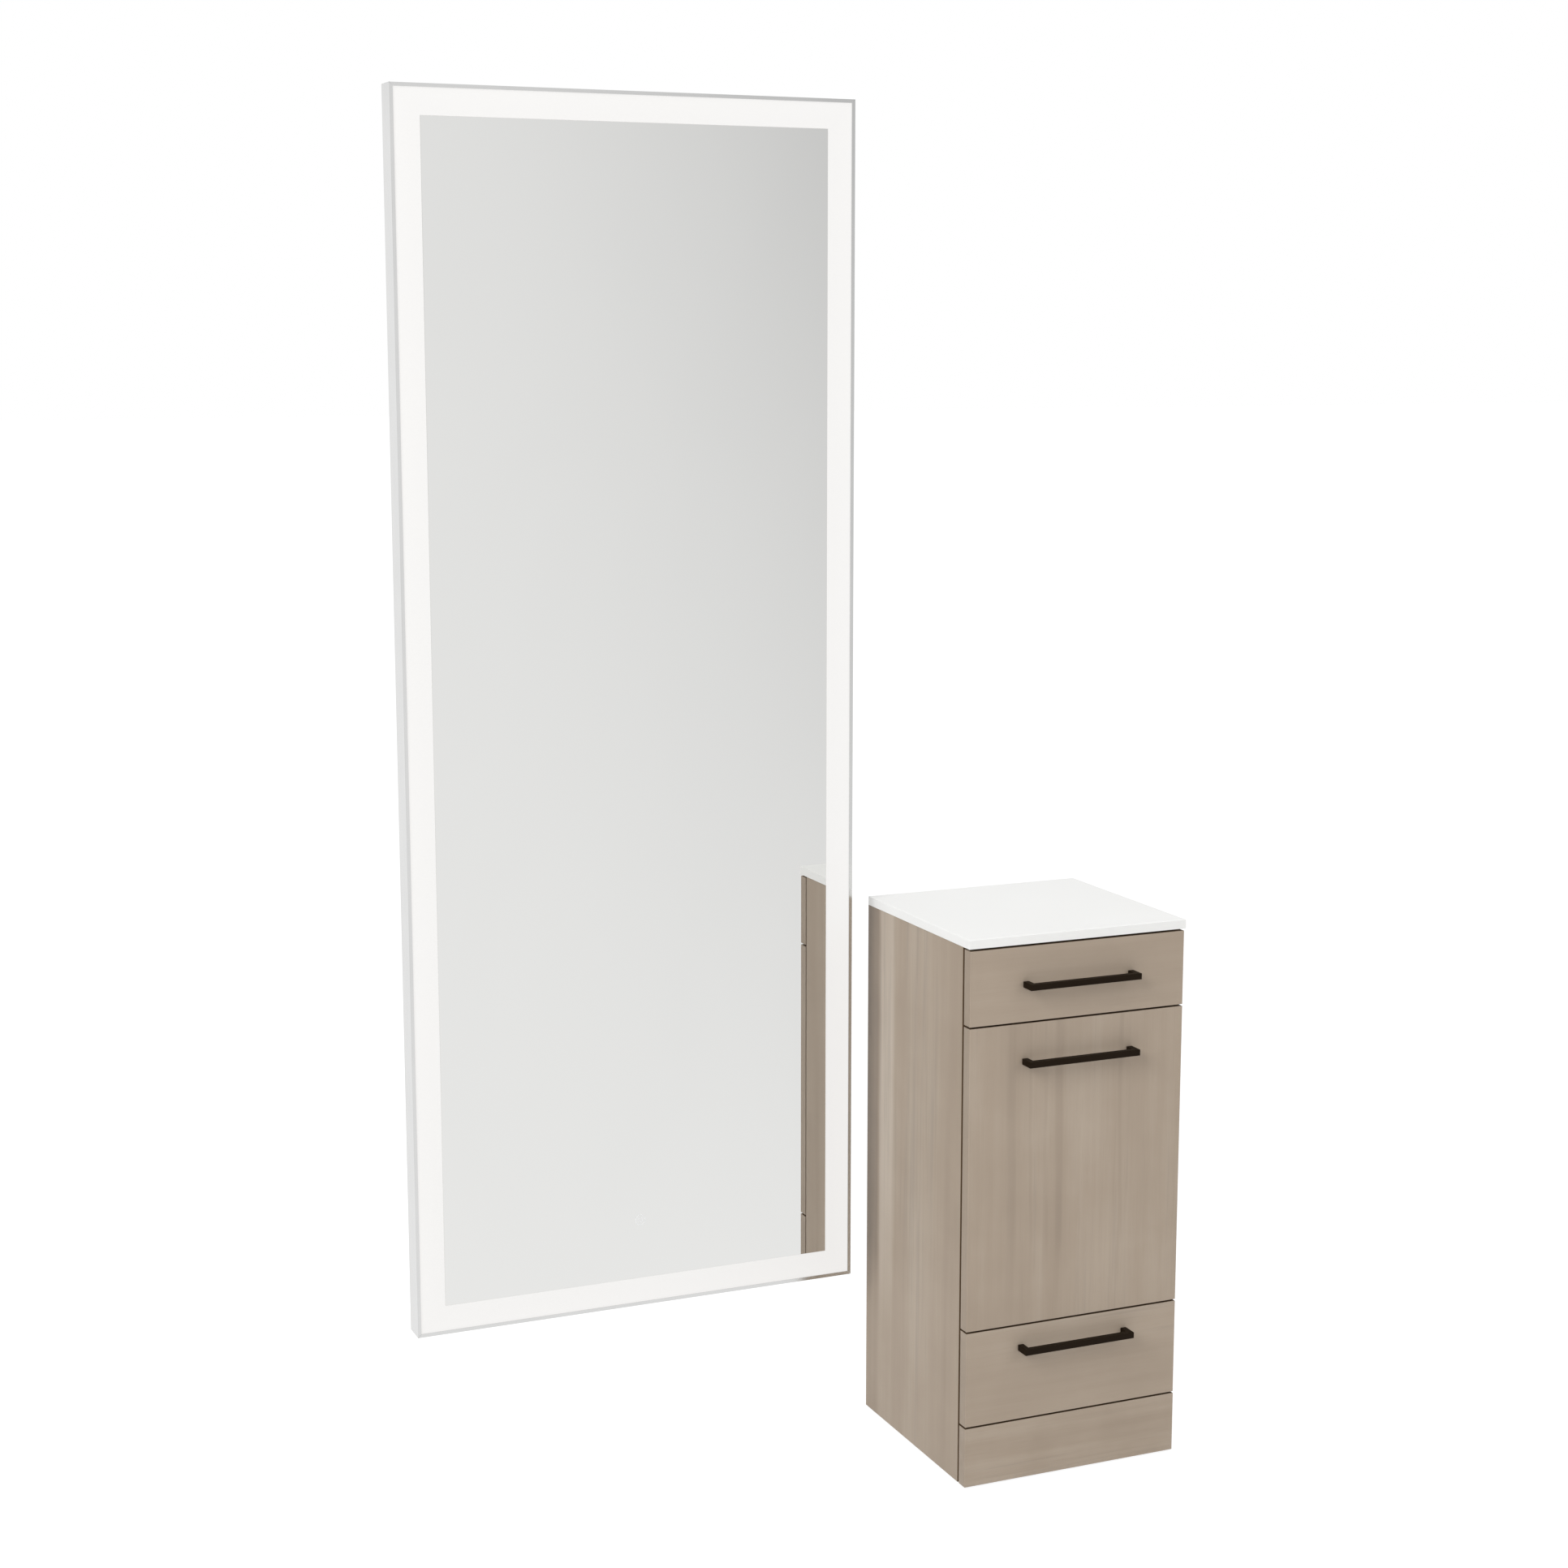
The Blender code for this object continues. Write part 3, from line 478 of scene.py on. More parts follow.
# The body, the front and the pull of everything that opens.
OPENING = (
    ("top_drawer", "top_drawer_front", "top_drawer_pull"),
    ("tilt_out", "tilt_front", "tilt_pull"),
    ("bottom_drawer", "bottom_drawer_front", "bottom_drawer_pull"),
)
powder = new_finish("black_powder_coat")
peel = powder.noise(powder.place((1400, 1400, 1400)), detail=3)
wear = powder.noise(powder.place((40, 120, 120)), detail=4)
bar_finish = powder.surface(
    Base_Color=powder.blend(wear, POWDER_DARK, POWDER_RUBBED),
    Roughness=0.40 + wear * 0.20,
    Specular_IOR_Level=0.07,
    Normal=powder.bump(peel, 0.04 * MM, 0.6),
)
for _, _, pull in OPENING:
    dress(pull, bar_finish)

# %% [markdown]
# ## Drawer and bin boards
# Inside, the boxes are made of board with a white foil. The foil has a shallow cross-hatched emboss that
# only shows in glancing light.

# %% Liners
FOIL_DIM = (0.690, 0.682, 0.655)
FOIL_BRIGHT = (0.745, 0.738, 0.712)
LINERS = ("drawer_box", "drawer_bottom", "bin_side", "bin_back", "bin_bottom")
foil = new_finish("white_foil_board")
weft = foil.noise(foil.place((900, 60, 60)), detail=2)
warp = foil.noise(foil.place((60, 900, 900)), detail=2)
tint = foil.noise(foil.place((7, 7, 7)), detail=3)
liner_finish = foil.surface(
    Base_Color=foil.blend(tint, FOIL_DIM, FOIL_BRIGHT),
    Roughness=0.50 + weft * 0.10,
    Normal=foil.bump(weft + warp, 0.04 * MM, 0.5),
)
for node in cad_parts:
    if any(word in node for word in LINERS):
        dress(node, liner_finish)

# %% [markdown]
# ## Plated and brushed metal
# Zinc plate shows pale crystals a few millimetres across under a bright sheen, and rolled sections carry
# faint draw lines along their length. Brushed metal has thousands of fine scratches one way, and a smudge
# or two. The tool plate is brushed along X.


# %% Metals
ZINC_DARK = (0.47, 0.49, 0.52)
ZINC_LIGHT = (0.66, 0.68, 0.70)
STEEL_DARK = (0.42, 0.42, 0.42)
STEEL_LIGHT = (0.60, 0.60, 0.59)
BRUSH_LINES = (1600, 9)


def zinc_plate(name, crystals_in_a_metre):
    zinc = new_finish(name)
    sockets = {"Vector": zinc.place(), "Scale": crystals_in_a_metre}
    crystals = zinc.node("TexVoronoi", None, sockets, SECOND_OUTPUT)
    grey = zinc.node("RGBToBW", None, {0: crystals})
    drawn = zinc.noise(zinc.place((500, 12, 500)), detail=3)
    level = grey * 0.45 + drawn * 0.55
    return zinc.surface(
        Base_Color=zinc.blend(level, ZINC_DARK, ZINC_LIGHT),
        Metallic=1.0,
        Roughness=0.24 + level * 0.20,
        Normal=zinc.bump(drawn, 0.02 * MM, 0.5),
    )


def brushed(name, along, dark, light, roughness, scatter=0.16):
    steel = new_finish(name)
    lines = steel.noise(steel.place(stretched(*BRUSH_LINES, along)), detail=4, roughness=0.75)
    smudge = steel.noise(steel.place((16, 16, 16)), detail=3)
    return steel.surface(
        Base_Color=steel.blend(lines * 0.6 + smudge * 0.4, dark, light),
        Metallic=1.0,
        Roughness=roughness + lines * scatter + smudge * 0.05,
        Normal=steel.bump(lines, 0.015 * MM, 0.5),
    )


runner_finish = zinc_plate("zinc_plated_runner", 260)
forging_finish = zinc_plate("zinc_plated_fork", 420)
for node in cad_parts:
    if "_runner_" in node or node.startswith("pivot_bracket"):
        dress(node, runner_finish)
    elif node.endswith("_fork"):
        dress(node, forging_finish)
dress("tool_plate", brushed("brushed_tool_steel", "X", STEEL_DARK, STEEL_LIGHT, 0.26))

# %% [markdown]
# ## The mirror's frame
# The four rails are cut from one aluminium extrusion, etched and anodised to a silky grey. Extrusion leaves
# hair-fine lines along the bar, so the uprights are lined along Z and the top and bottom rails along X. The
# cleats behind are the same metal, but as it comes from the mill: darker and rougher.

# %% Frame rails and cleats
RAIL_DARK = (0.63, 0.63, 0.625)
RAIL_LIGHT = (0.78, 0.78, 0.775)
MILL_DARK = (0.36, 0.37, 0.38)
MILL_LIGHT = (0.50, 0.51, 0.52)
RAIL_ROUGHNESS = 0.05
RAIL_SCATTER = 0.08
for kind, along, sides in (("upright", "Z", ("left", "right")), ("crossbar", "X", ("top", "bottom"))):
    rail_finish = brushed(f"anodised_{kind}", along, RAIL_DARK, RAIL_LIGHT, RAIL_ROUGHNESS, RAIL_SCATTER)
    for side in sides:
        dress(f"frame_rail_{side}", rail_finish)
cleat_finish = brushed("mill_finish_cleat", "X", MILL_DARK, MILL_LIGHT, 0.30)
for node in ("hanger_cleat", "wall_cleat"):
    dress(node, cleat_finish)

# %% [markdown]
# ## Silvered glass
# A mirror is a metal with hardly any roughness, behind glass that costs it a fifth of its light. Where
# handling has left a breath of haze, it shows in the roughness, and very faintly in the colour.

# %% Mirror pane
SILVER_DIM = (0.795, 0.795, 0.782)
SILVER_BRIGHT = (0.815, 0.815, 0.801)
HAZE_ROUGHNESS = 0.018
silver = new_finish("silvered_float_glass")
haze = silver.noise(silver.place((3, 3, 2)), detail=3, distortion=1.0)
dress(
    "mirror_pane",
    silver.surface(
        Base_Color=silver.blend(haze, SILVER_DIM, SILVER_BRIGHT),
        Metallic=1.0,
        Roughness=silver.spread(haze, 0.35, 0.75, 0.0, HAZE_ROUGHNESS),
    ),
)

# %% [markdown]
# ## The glowing border
# The border is opal, and a light strip runs round behind its outer edge. So it is brightest by the frame
# and falls off by a hair towards the mirror. The distance from the frame is worked out from the object's
# own coordinates: how far a point is from the nearest side of the border's rectangle. The opal itself is
# kept grey, so that its own light and the room's together stay just short of white.

# %% Light band
OPAL_GREY = (0.20, 0.20, 0.197, 1)
WARM_WHITE = (1.0, 0.985, 0.970)
UNLIT = (0.0, 0.0, 0.0)
BAND_WIDTH = 41 * MM
GLOW_AT_MIRROR = 0.985
band_low, band_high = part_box("light_band")
opal = new_finish("glowing_opal")
across, _, upward = opal.parts(opal.place())
from_sides = opal.maths("MINIMUM", across - band_low.x, band_high.x - across)
from_ends = opal.maths("MINIMUM", upward - band_low.z, band_high.z - upward)
depth = opal.maths("MINIMUM", from_sides, from_ends) / BAND_WIDTH
frosting = opal.noise(opal.place((700, 700, 700)), detail=2)
glow = opal.spread(depth, 0.0, 1.0, 1.0, GLOW_AT_MIRROR)
dress(
    "light_band",
    opal.surface(
        Base_Color=OPAL_GREY,
        Roughness=0.55 + frosting * 0.15,
        Emission_Color=opal.blend(glow, UNLIT, WARM_WHITE),
        Emission_Strength=0.70,
        Specular_IOR_Level=0.25,
        Normal=opal.bump(frosting, 0.02 * MM, 0.4),
    ),
)
print("border", [round(v, 3) for v in (*band_low, *band_high)])

# %% [markdown]
# ## The mirror's back
# The back is a white powder-coated pan. A thick coat on a large sheet has a coarser orange peel than the
# pulls have, and dust has settled on it in faint clouds.

# %% Rear panel
PAN_DUSTY = (0.72, 0.72, 0.705)
PAN_CLEAN = (0.79, 0.79, 0.78)
pan = new_finish("white_powder_coat")
orange_peel = pan.noise(pan.place((650, 650, 650)), detail=3)
dust = pan.noise(pan.place((4, 4, 4)), detail=5)
dress(
    "rear_panel",
    pan.surface(
        Base_Color=pan.blend(dust, PAN_DUSTY, PAN_CLEAN),
        Roughness=0.42 + orange_peel * 0.15,
        Normal=pan.bump(orange_peel, 0.05 * MM, 0.7),
    ),
)

# %% [markdown]
# ## Inside the mirror
# The light strip has a lamp every few millimetres under a yellow phosphor, which a wave texture repeats
# along it. The driver is a moulded case, and the switch film and the cable gland are black.

# %% Mirror internals
STRIP_WHITE = (0.84, 0.84, 0.80)
PHOSPHOR = (0.92, 0.78, 0.30)
STRIP_GLOW = (0.2, 0.2, 0.2)
LAMP_GLOW = (1.0, 0.96, 0.85)
strip = new_finish("lamp_strip")
lamps = strip.node("TexWave", None, {"Vector": strip.place(), "Scale": 60.0})
dress(
    "led_strip",
    strip.surface(
        Base_Color=strip.blend(lamps, STRIP_WHITE, PHOSPHOR),
        Roughness=0.4,
        Emission_Color=strip.blend(lamps, STRIP_GLOW, LAMP_GLOW),
        Emission_Strength=1.5,
    ),
)


def moulded(name, dark, light, roughness):
    """A moulded plastic with the fine spark-eroded texture of its tool."""
    plastic = new_finish(name)
    grain = plastic.noise(plastic.place((1100, 1100, 1100)), detail=2)
    flow = plastic.noise(plastic.place((22, 22, 22)), detail=2)
    return plastic.surface(
        Base_Color=plastic.blend(flow, dark, light),
        Roughness=roughness + grain * 0.12,
        Normal=plastic.bump(grain, 0.03 * MM, 0.6),
    )


nylon = moulded("black_nylon", (0.014, 0.014, 0.014), (0.030, 0.030, 0.030), 0.42)
dress("led_driver", moulded("driver_case", (0.56, 0.56, 0.54), (0.65, 0.65, 0.63), 0.48))
dress("touch_sensor", nylon)
dress("cable_gland", nylon)

# %% [markdown]
# ## Wheels
# Each wheel is one turned solid, but a real one has two plastics: a hard pale centre and a soft grey tread.
# The mask between them is the distance from the wheel's own axle, taken from its packed box.


# %% Caster wheels
HUB_DARK = (0.34, 0.34, 0.35)
HUB_LIGHT = (0.40, 0.40, 0.41)
TREAD_DARK = (0.075, 0.075, 0.08)
TREAD_LIGHT = (0.130, 0.130, 0.135)
HUB_RADIUS = 18.6 * MM
TREAD_INSIDE = 19.0 * MM
ROUND_X = (0, 1, 1)


def centre_of(node):
    low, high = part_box(node)
    return (low + high) / 2


def wheel_finish(node):
    tyre = new_finish(f"finish_{node}")
    from_axle = tyre.place(ROUND_X, tuple(-centre_of(node)))
    spoke = tyre.node("VectorMath", {"operation": "LENGTH"}, {0: from_axle}, SECOND_OUTPUT)
    tread = tyre.spread(spoke, HUB_RADIUS, TREAD_INSIDE)
    scuff = tyre.noise(tyre.place((300, 300, 300)), detail=4)
    hub = tyre.blend(scuff, HUB_DARK, HUB_LIGHT)
    rubber = tyre.blend(scuff, TREAD_DARK, TREAD_LIGHT)
    return tyre.surface(
        Base_Color=tyre.blend(tread, hub, rubber),
        Roughness=0.40 + tread * 0.22 + scuff * 0.08,
        Normal=tyre.bump(scuff, 0.03 * MM, 0.5),
    )


for corner in ("front_left", "front_right", "rear_left", "rear_right"):
    node = f"caster_{corner}_wheel"
    dress(node, wheel_finish(node))

# %% [markdown]
# ## Adding a piece
# New pieces are built with bmesh where they stand, so their object can stay at the origin, and their
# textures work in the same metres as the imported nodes. Each then rides on the body that carries it.


# %% A piece from a mesh
def add_piece(name, shape, material, body, smooth_under=40):
    mesh = bpy.data.meshes.new(name)
    bmesh.ops.recalc_face_normals(shape, faces=shape.faces)
    shape.to_mesh(mesh)
    shape.free()
    mesh.materials.append(material)
    mesh.shade_smooth()
    mesh.set_sharp_from_angle(angle=math.radians(smooth_under))
    thing = bpy.data.objects.new(name, mesh)
    bpy.context.scene.collection.objects.link(thing)
    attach(thing, body)
    print(name, len(mesh.polygons), "faces on", body)


# %% [markdown]
# ## Turned shapes
# Screws, bumpers and grommets are all turned about an axis. A profile is a list of radii and heights. Each
# becomes a ring of points, or one point where it meets the axis, and a skin joins each ring to the next.


# %% Rings and skins
TIP = 1e-7


def facing(place, normal):
    """A matrix that carries local +Z to a normal, at a place."""
    return Matrix.Translation(place) @ Vector(normal).to_track_quat("Z", "Y").to_matrix().to_4x4()


def circle(radius, height, steps):
    """Points round local Z, or one point on it."""
    if radius < TIP:
        return [Vector((0, 0, height))]
    angles = [2 * math.pi * i / steps for i in range(steps)]
    return [Vector((radius * math.cos(angle), radius * math.sin(angle), height)) for angle in angles]


def skin(shape, lower, upper, steps):
    """Faces between two rings, either of which may be a single point."""
    for i in range(steps):
        j = (i + 1) % steps
        corners = [lower[i % len(lower)], lower[j % len(lower)]]
        corners += [upper[j % len(upper)], upper[i % len(upper)]]
        unique = list(dict.fromkeys(corners))
        if len(unique) > 2:
            shape.faces.new(unique)


def add_rings(shape, rings, steps, matrix, close=False):
    """Adds rings of points to a shape, with a skin between neighbours."""
    loops = [[shape.verts.new(matrix @ point) for point in ring] for ring in rings]
    for lower, upper in zip(loops, loops[1:]):
        skin(shape, lower, upper, steps)
    if close:
        skin(shape, loops[-1], loops[0], steps)
    return loops


def add_turned(shape, profile, steps, matrix, close=False):
    """Turns a profile of (radius, height) about local Z and adds it to a shape."""
    rings = [circle(radius, height, steps) for radius, height in profile]
    add_rings(shape, rings, steps, matrix, close)


# %% [markdown]
# ## The touch switch
# Near the foot of the mirror a thin ring is etched through the silver, with the mark for on and off inside
# it. A little light comes through, so it is a faint white. It is a film a tenth of a millimetre proud of
# the glass. An arc is a flat band between two radii and two angles, with as many steps as it needs.

# %% Touch ring
FILM_DIM = (0.70, 0.71, 0.72)
FILM_BRIGHT = (0.78, 0.79, 0.80)
FILM = 0.1 * MM
RING_ARC = (8.0 * MM, 8.9 * MM, 0, 360, 48)
MARK_ARC = (3.6 * MM, 4.4 * MM, 122, 418, 32)
STROKE = (0.8 * MM, FILM, 4.0 * MM)
STROKE_UP = 3.3 * MM
lit_film = new_finish("etched_film")
film_grain = lit_film.noise(lit_film.place((2500, 2500, 2500)), detail=2)
film_finish = lit_film.surface(
    Base_Color=lit_film.blend(film_grain, FILM_DIM, FILM_BRIGHT),
    Roughness=0.45,
    Emission_Color=(1.0, 1.0, 1.0, 1),
    Emission_Strength=0.08,
)
sensor = centre_of("touch_sensor")
switch = Vector((sensor.x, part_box("mirror_pane")[0].y, sensor.z))


def add_arc(shape, inner, outer, start, end, steps):
    """A flat band of a ring on the front of the glass, between two angles."""
    full = abs(end - start) >= 360
    count = steps if full else steps + 1
    corners = []
    for i in range(count):
        angle = math.radians(start + (end - start) * i / steps)
        aim = Vector((math.cos(angle), 0, math.sin(angle)))
        row = []
        for radius in (inner, outer):
            for lift in (0, -FILM):
                row.append(shape.verts.new(switch + aim * radius + Vector((0, lift, 0))))
        corners.append(row)
    order = (0, 1, 3, 2)
    spans = zip(corners, corners[1:] + corners[:1]) if full else zip(corners, corners[1:])
    for first, second in spans:
        for a, b in zip(order, order[1:] + order[:1]):
            shape.faces.new((first[a], first[b], second[b], second[a]))
    if not full:
        for row in (corners[0], corners[-1]):
            shape.faces.new([row[i] for i in order])


ring = bmesh.new()
add_arc(ring, *RING_ARC)
add_arc(ring, *MARK_ARC)
stroke_place = Matrix.Translation(switch + Vector((0, -FILM / 2, STROKE_UP)))
bmesh.ops.create_cube(ring, size=1, matrix=stroke_place @ Matrix.Diagonal((*STROKE, 1)))
add_piece("touch_ring", ring, film_finish, "mirror")

# %% [markdown]
# ## Screws
# A pan-head screw is a turned dome with a cross recess. All the heads of one body and one kind are one
# mesh, because a maker counts them as a bag of screws. The recess is cut in the dome's own rings: the
# innermost is drawn in to a star, and a second star below it is the bottom of the cross.

# %% Screw heads
PAN_HEAD = 0.62
FLAT_HEAD = 0.09
HEAD_STEPS = 24
RIM = 0.35
# Shares of the radius and of the height, from the seat up to the edge of the recess.
DOME = ((0.96, 0.0), (1.0, 0.22), (0.93, 0.55), (0.74, 0.84), (RIM * 1.15, 1.0))
ARM, HOLLOW = RIM, RIM * 0.34
RECESS_FLOOR = 0.35


def star(radius, height):
    """A cross with four arms, as wide as three of the ring's points."""
    points = []
    for i, aim in enumerate(circle(radius, 0, HEAD_STEPS)):
        reach = ARM if i % 6 in (0, 1, 5) else HOLLOW
        points.append(aim * reach + Vector((0, 0, height)))
    return points


def add_screws(name, body, places, normal, radius, crown=PAN_HEAD):
    """Screw heads of one kind. The crown is their height as a share of their radius."""
    shape = bmesh.new()
    height = radius * crown
    rings = [circle(radius * share, height * rise, HEAD_STEPS) for share, rise in DOME]
    rings += [star(radius, height), star(radius, height * RECESS_FLOOR)]
    for place in places:
        loops = add_rings(shape, rings, HEAD_STEPS, facing(Vector(place), normal))
        shape.faces.new(loops[-1])
        shape.faces.new(list(reversed(loops[0])))
    add_piece(name, shape, forging_finish, body, 30)


# %% [markdown]
# ## Screws behind the pulls
# Each pull is held by two screws from inside its front, 192 mm apart, which is a common spacing of holes.

# %% Pull screws
PULL_HOLES = 192 * MM
for body, front, pull in OPENING:
    bar = centre_of(pull)
    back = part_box(front)[1].y
    places = [(bar.x + side * PULL_HOLES / 2, back, bar.z) for side in (-1, 1)]
    add_screws(f"{pull}_screws", body, places, (0, 1, 0), 4.2 * MM)

# %% [markdown]
# ## Screws behind the mirror
# The pan is held to the rails' rear flanges by a row of small screws, six up each side and three along the
# top and the bottom.


# %% Pan screws
def spaced(low, high, margin, count):
    """Evenly spaced places between two margins."""
    return [low + margin + step * (high - low - 2 * margin) / (count - 1) for step in range(count)]


pan_low, pan_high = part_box("rear_panel")
INSET = 6 * MM
places = []
for x in (pan_low.x + INSET, pan_high.x - INSET):
    places += [(x, pan_high.y, z) for z in spaced(pan_low.z, pan_high.z, 60 * MM, 6)]
for z in (pan_low.z + INSET, pan_high.z - INSET):
    places += [(x, pan_high.y, z) for x in spaced(pan_low.x, pan_high.x, 90 * MM, 3)]
add_screws("pan_screws", "mirror", places, (0, 1, 0), 3.0 * MM)

# %% [markdown]
# ## Screws in the cleats
# The hanger's plate is screwed to the pan, and the cleat that it hooks over is screwed through to the wall,
# with six screws each. The heads sit on the sheet, 2 mm in from the face that touches pan or wall.

# %% Cleat screws
CLEAT_SHEET = 2 * MM
FROM_EDGE = 12 * MM
CLEAT_SCREWS = 6
hanger_low, hanger_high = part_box("hanger_cleat")
holder_low, holder_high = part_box("wall_cleat")
half_pitch = (hanger_high.x - hanger_low.x) / CLEAT_SCREWS / 2
along_hanger = spaced(hanger_low.x, hanger_high.x, half_pitch, CLEAT_SCREWS)
half_pitch = (holder_high.x - holder_low.x) / CLEAT_SCREWS / 2
along_holder = spaced(holder_low.x, holder_high.x, half_pitch, CLEAT_SCREWS)
hanger_places = [(x, hanger_low.y + CLEAT_SHEET, hanger_high.z - FROM_EDGE) for x in along_hanger]
holder_places = [(x, holder_high.y - CLEAT_SHEET, holder_low.z + FROM_EDGE) for x in along_holder]
add_screws("hanger_screws", "mirror", hanger_places, (0, 1, 0), 4.0 * MM)
add_screws("wall_screws", "mirror", holder_places, (0, -1, 0), 4.5 * MM)

# %% [markdown]
# ## Screws in the cabinet's back
# The back board is screwed to the rear edge of each shelf. These heads are countersunk, so that the cabinet
# can roll close to the wall, and only a third of a millimetre stands proud.

# %% Back screws
ALONG_SHELF = (0.12, 0.5, 0.88)
back_low, back_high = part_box("back_panel")
places = []
for shelf in ("base_deck", "lower_divider", "upper_divider", "sub_top"):
    for along in ALONG_SHELF:
        x = back_low.x + along * (back_high.x - back_low.x)
        places.append((x, back_high.y, centre_of(shelf).z))
add_screws("back_screws", "cabinet", places, (0, 1, 0), 4.0 * MM, FLAT_HEAD)

# %% [markdown]
# ## Door bumpers
# Small clear bumpers keep the fronts from slapping the carcass. They are domes of soft polymer, stuck to the
# back of each front where it meets the sides, and nearly fill the slim gap between front and carcass. A
# drawer front has four. The tilting front has two, at its top, because its foot turns on its pins.

# %% Bumpers
GEL_DIM = (0.62, 0.63, 0.63)
GEL_BRIGHT = (0.72, 0.73, 0.73)
gel = new_finish("clear_gel")
gel_cloud = gel.noise(gel.place((250, 250, 250)), detail=2)
gel_finish = gel.surface(
    Base_Color=gel.blend(gel_cloud, GEL_DIM, GEL_BRIGHT),
    Roughness=0.12 + gel_cloud * 0.08,
    Coat_Weight=0.5,
)
# Radius and height in mm, from the middle of the seat to the top.
GEL_DOME = ((0.0, 0.0), (4.5, 0.0), (4.5, 0.9), (4.2, 1.9), (3.3, 2.9), (1.9, 3.4), (0.0, 3.6))
FROM_SIDE = 7 * MM
FROM_END = 20 * MM
gel_profile = [(radius * MM, height * MM) for radius, height in GEL_DOME]
for body, front, _ in OPENING:
    low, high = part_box(front)
    shape = bmesh.new()
    heights = (high.z - FROM_END,) if front == "tilt_front" else (low.z + FROM_END, high.z - FROM_END)
    for x in (low.x + FROM_SIDE, high.x - FROM_SIDE):
        for z in heights:
            add_turned(shape, gel_profile, 20, facing((x, high.y, z), (0, 1, 0)))
    add_piece(f"{front}_bumpers", shape, gel_finish, body)

# %% [markdown]
# ## Grommets in the tool plate
# Hot tools drop barrel first through three holes. A rolled silicone grommet lines each one, so the steel's
# cut edge never shows. Its section is a U on its side that grips both faces of the plate. The lip above the
# plate is drawn once, and the one below is its mirror image.

# %% Grommets
PLATE = 2 * MM
HOLE_SPACING = 100 * MM
IRON_HOLE = 23 * MM
DRYER_HOLE = 38 * MM
HAIRLINE = 0.05 * MM
# How far each point of the lip is outside the hole and above the plate, in mm.
LIP = ((2.6, 0.05), (2.4, 1.0), (1.2, 1.5), (-0.3, 1.2), (-1.0, 0.0))
silicone = moulded("black_silicone", (0.020, 0.019, 0.018), (0.034, 0.033, 0.031), 0.50)
plate = centre_of("tool_plate")
plate_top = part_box("tool_plate")[1].z
grommets = bmesh.new()
for offset, hole in ((-HOLE_SPACING, IRON_HOLE), (0.0, DRYER_HOLE), (HOLE_SPACING, IRON_HOLE)):
    upper = [(hole + out * MM, rise * MM) for out, rise in LIP]
    lower = [(radius, -PLATE - height) for radius, height in reversed(upper)]
    groove = [(hole - HAIRLINE, -PLATE - HAIRLINE), (hole - HAIRLINE, HAIRLINE)]
    middle = Vector((plate.x + offset, plate.y, plate_top))
    add_turned(grommets, upper + lower + groove, 48, facing(middle, (0, 0, 1)), close=True)
add_piece("tool_grommets", grommets, silicone, "tilt_out")

# %% [markdown]
# ## What the mirror and the metal see
# A white room would make the mirror a flat white sheet. In the photograph it is a soft grey that deepens to
# the upper right. So only for glossy rays, those that come off metal and other gloss, the room has a shade
# that the camera doesn't see. It depends on how far to the side and how high a ray goes for each metre that
# it goes forwards. Its numbers were tuned until the mirror's greys matched the photograph's, and it is
# limited, so that no surface sees black.


# %% Rays and shade
STRAIGHT_ON = 0.2
WIDEST = 0.35
SIDE_SHADE = 3.0
LEAST_SHADE = 0.05
DEEPER_UPWARDS = 2.4
DEEPEST = 0.4


def ray_kinds(finish):
    """How a ray came here: 1 where it is seen directly or in gloss or glass, and 1 where only in gloss."""
    paths = finish.tree.nodes.new("ShaderNodeLightPath")
    kinds = [Wire(finish, paths.outputs[f"Is {kind} Ray"]) for kind in ("Camera", "Glossy", "Transmission")]
    return finish.maths("ADD", kinds[0] + kinds[1], kinds[2], clamp=True), kinds[1]


def room_shade(finish, slant, rise):
    """How much darker the room is in the mirror: most at its far sides, and least near the floor."""
    aside = finish.maths("ABSOLUTE", slant)
    aside = finish.maths("MINIMUM", finish.maths("MAXIMUM", aside - STRAIGHT_ON, 0.0), WIDEST)
    height = finish.maths("MAXIMUM", rise * DEEPER_UPWARDS + 1.0, 0.0)
    return finish.maths("MINIMUM", (aside * aside * SIDE_SHADE + LEAST_SHADE) * height, DEEPEST)


def emission(finish, level, strength=1.0):
    return finish.node("Emission", None, {"Color": (level, level, level, 1), "Strength": strength})


print("room shade up to", DEEPEST)

# %% [markdown]
# ## The floor
# The floor is a wide pale sheet. Where it is seen, it is close to white by its own light, with a thin
# diffuse layer on top, so that the object's shadow still falls on it. For the light that it throws back at
# the object it is ordinary pale paper. In the mirror it is the room's white with the room's shade, which
# fans out from BEHIND. That point is the place of the photograph's camera, mirrored in the pane, so this
# shade is laid out for the photograph's view alone. It is a known fault: from other places in front it draws
# a false slanting band across the mirror. The mend is to set the floor's visible_glossy to False, so that
# the mirror sees the world below the horizon, whose shade goes by direction.

# %% Floor
FLOOR_HALF = 60
BEHIND = Vector((-1.7, 4.17, 1.85))
NEAREST = 0.5
PAPER_DIM = (0.80, 0.80, 0.80)
PAPER_BRIGHT = (0.82, 0.82, 0.82)
SHADOW_GREY = (0.26, 0.26, 0.26, 1)
OWN_LIGHT = 0.88
floor_shape = bmesh.new()
bmesh.ops.create_grid(floor_shape, x_segments=1, y_segments=1, size=FLOOR_HALF)
floor_mesh = bpy.data.meshes.new("studio_floor")
floor_shape.to_mesh(floor_mesh)
floor_shape.free()
floor = bpy.data.objects.new("studio_floor", floor_mesh)
bpy.context.scene.collection.objects.link(floor)

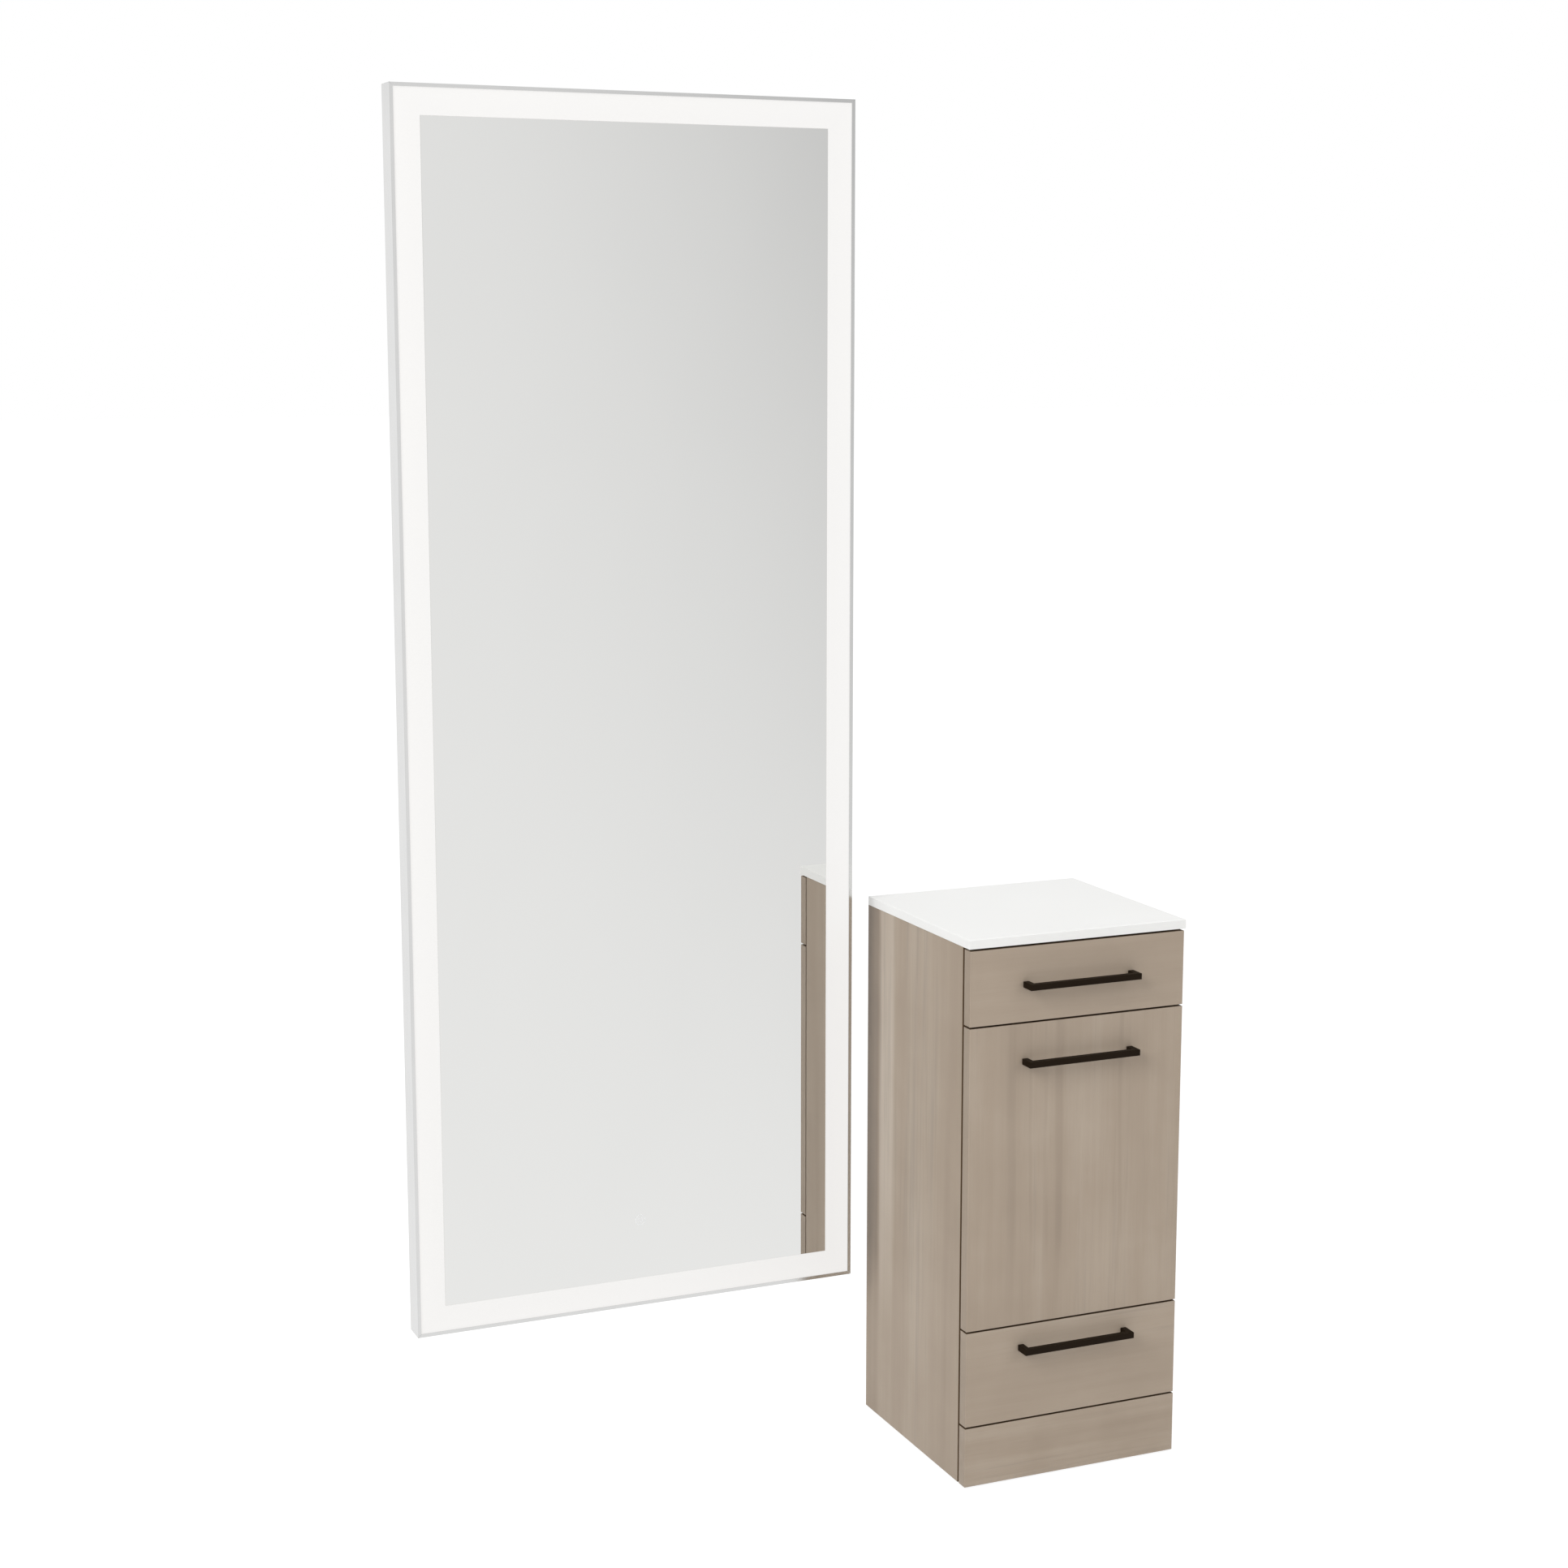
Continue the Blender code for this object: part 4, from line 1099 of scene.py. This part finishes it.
paper = new_finish("pale_floor")
paper_grain = paper.noise(paper.place((2, 2, 2)), detail=2)
paper_colour = paper.blend(paper_grain, PAPER_DIM, PAPER_BRIGHT)
diffuse = paper.node("BsdfDiffuse", None, {"Color": paper_colour})
thin_shadow = paper.node("BsdfDiffuse", None, {"Color": SHADOW_GREY})
bright = paper.node("AddShader", None, {0: thin_shadow, 1: emission(paper, 1, OWN_LIGHT)})
seen, in_metal = ray_kinds(paper)
east, north, _ = paper.parts(paper.place())
run = paper.maths("MAXIMUM", BEHIND.y - north, NEAREST)
shade = room_shade(paper, (east - BEHIND.x) / run, -BEHIND.z / run)
mirrored = paper.node("MixShader", None, {0: shade, 1: emission(paper, 1), 2: emission(paper, 0)})
direct = paper.node("MixShader", None, {0: in_metal, 1: bright, 2: mirrored})
shown = paper.node("MixShader", None, {0: seen, 1: diffuse, 2: direct})
paper.node("OutputMaterial", None, {"Surface": shown})
floor_mesh.materials.append(paper.owner)
print("floor", 2 * FLOOR_HALF, "m wide")

# %% [markdown]
# ## The world
# The world does the same as the floor: white where it is seen, softer where it lights. Metal that looks
# away from the wall sees the room's shade. Metal that looks up along the wall, such as the top rail, sees
# the dim ceiling there instead, and the change between the two is eased.

# %% World
SOFT_LIGHT = 0.66
ALONG_WALL = 0.10
LEAST_RUN = 0.02
CEILING = (0.06, 0.24)
CEILING_SHADE = 0.55
world = bpy.data.worlds.new("studio")
bpy.context.scene.world = world
sky = Finish(world)
seen, in_metal = ray_kinds(sky)
east, north, up = sky.parts(sky.node("TexCoord", output=GENERATED))
run = sky.maths("MAXIMUM", north * -1, LEAST_RUN)
before_the_wall = sky.spread(north, -ALONG_WALL, 0.0, 1.0, 0.0)
overhead = sky.spread(up, *CEILING, 0.0, CEILING_SHADE) * (1 - before_the_wall)
shade = (room_shade(sky, east / run, up / run) * before_the_wall + overhead) * in_metal
soft = sky.node("Background", None, {"Color": (1, 1, 1, 1), "Strength": SOFT_LIGHT})
white = sky.node("Background", None, {"Color": (1, 1, 1, 1), "Strength": 1.0})
dark = sky.node("Background", None, {"Color": (0, 0, 0, 1), "Strength": 1.0})
white_or_dark = sky.node("MixShader", None, {0: shade, 1: white, 2: dark})
sky_seen = sky.node("MixShader", None, {0: seen, 1: soft, 2: white_or_dark})
sky.node("OutputWorld", None, {"Surface": sky_seen})
print("world", len(sky.tree.nodes), "nodes")

# %% [markdown]
# ## Lamps
# Two big soft boxes, one high at the left front and one weaker at the right, give the boards their gentle
# shape. A third hangs overhead and lifts the slab top, and hardly touches the upright faces. All are
# broad, so their shadows have no hard edge, and none shows in the mirror.

# %% Soft boxes
middle = (cad_low + cad_high) / 2
# Place and target, the side of the square box in metres, and its power in watts.
SOFT_BOXES = {
    "key_box": ((-3.8, -2.4, 3.6), middle, 2.6, 154),
    "fill_box": ((2.6, -3.6, 2.6), middle, 2.4, 28),
    "top_box": ((0.4, 0.1, 4.6), (0.4, 0.0, 0.0), 1.6, 26),
}
for name, (place, target, side, power) in SOFT_BOXES.items():
    lamp = bpy.data.lights.new(name, "AREA")
    lamp.shape = "SQUARE"
    lamp.size = side
    lamp.energy = power
    box = bpy.data.objects.new(name, lamp)
    box.location = place
    box.rotation_euler = (Vector(target) - Vector(place)).to_track_quat("-Z", "Y").to_euler()
    box.visible_glossy = False
    bpy.context.scene.collection.objects.link(box)
    print(name, power, "W")
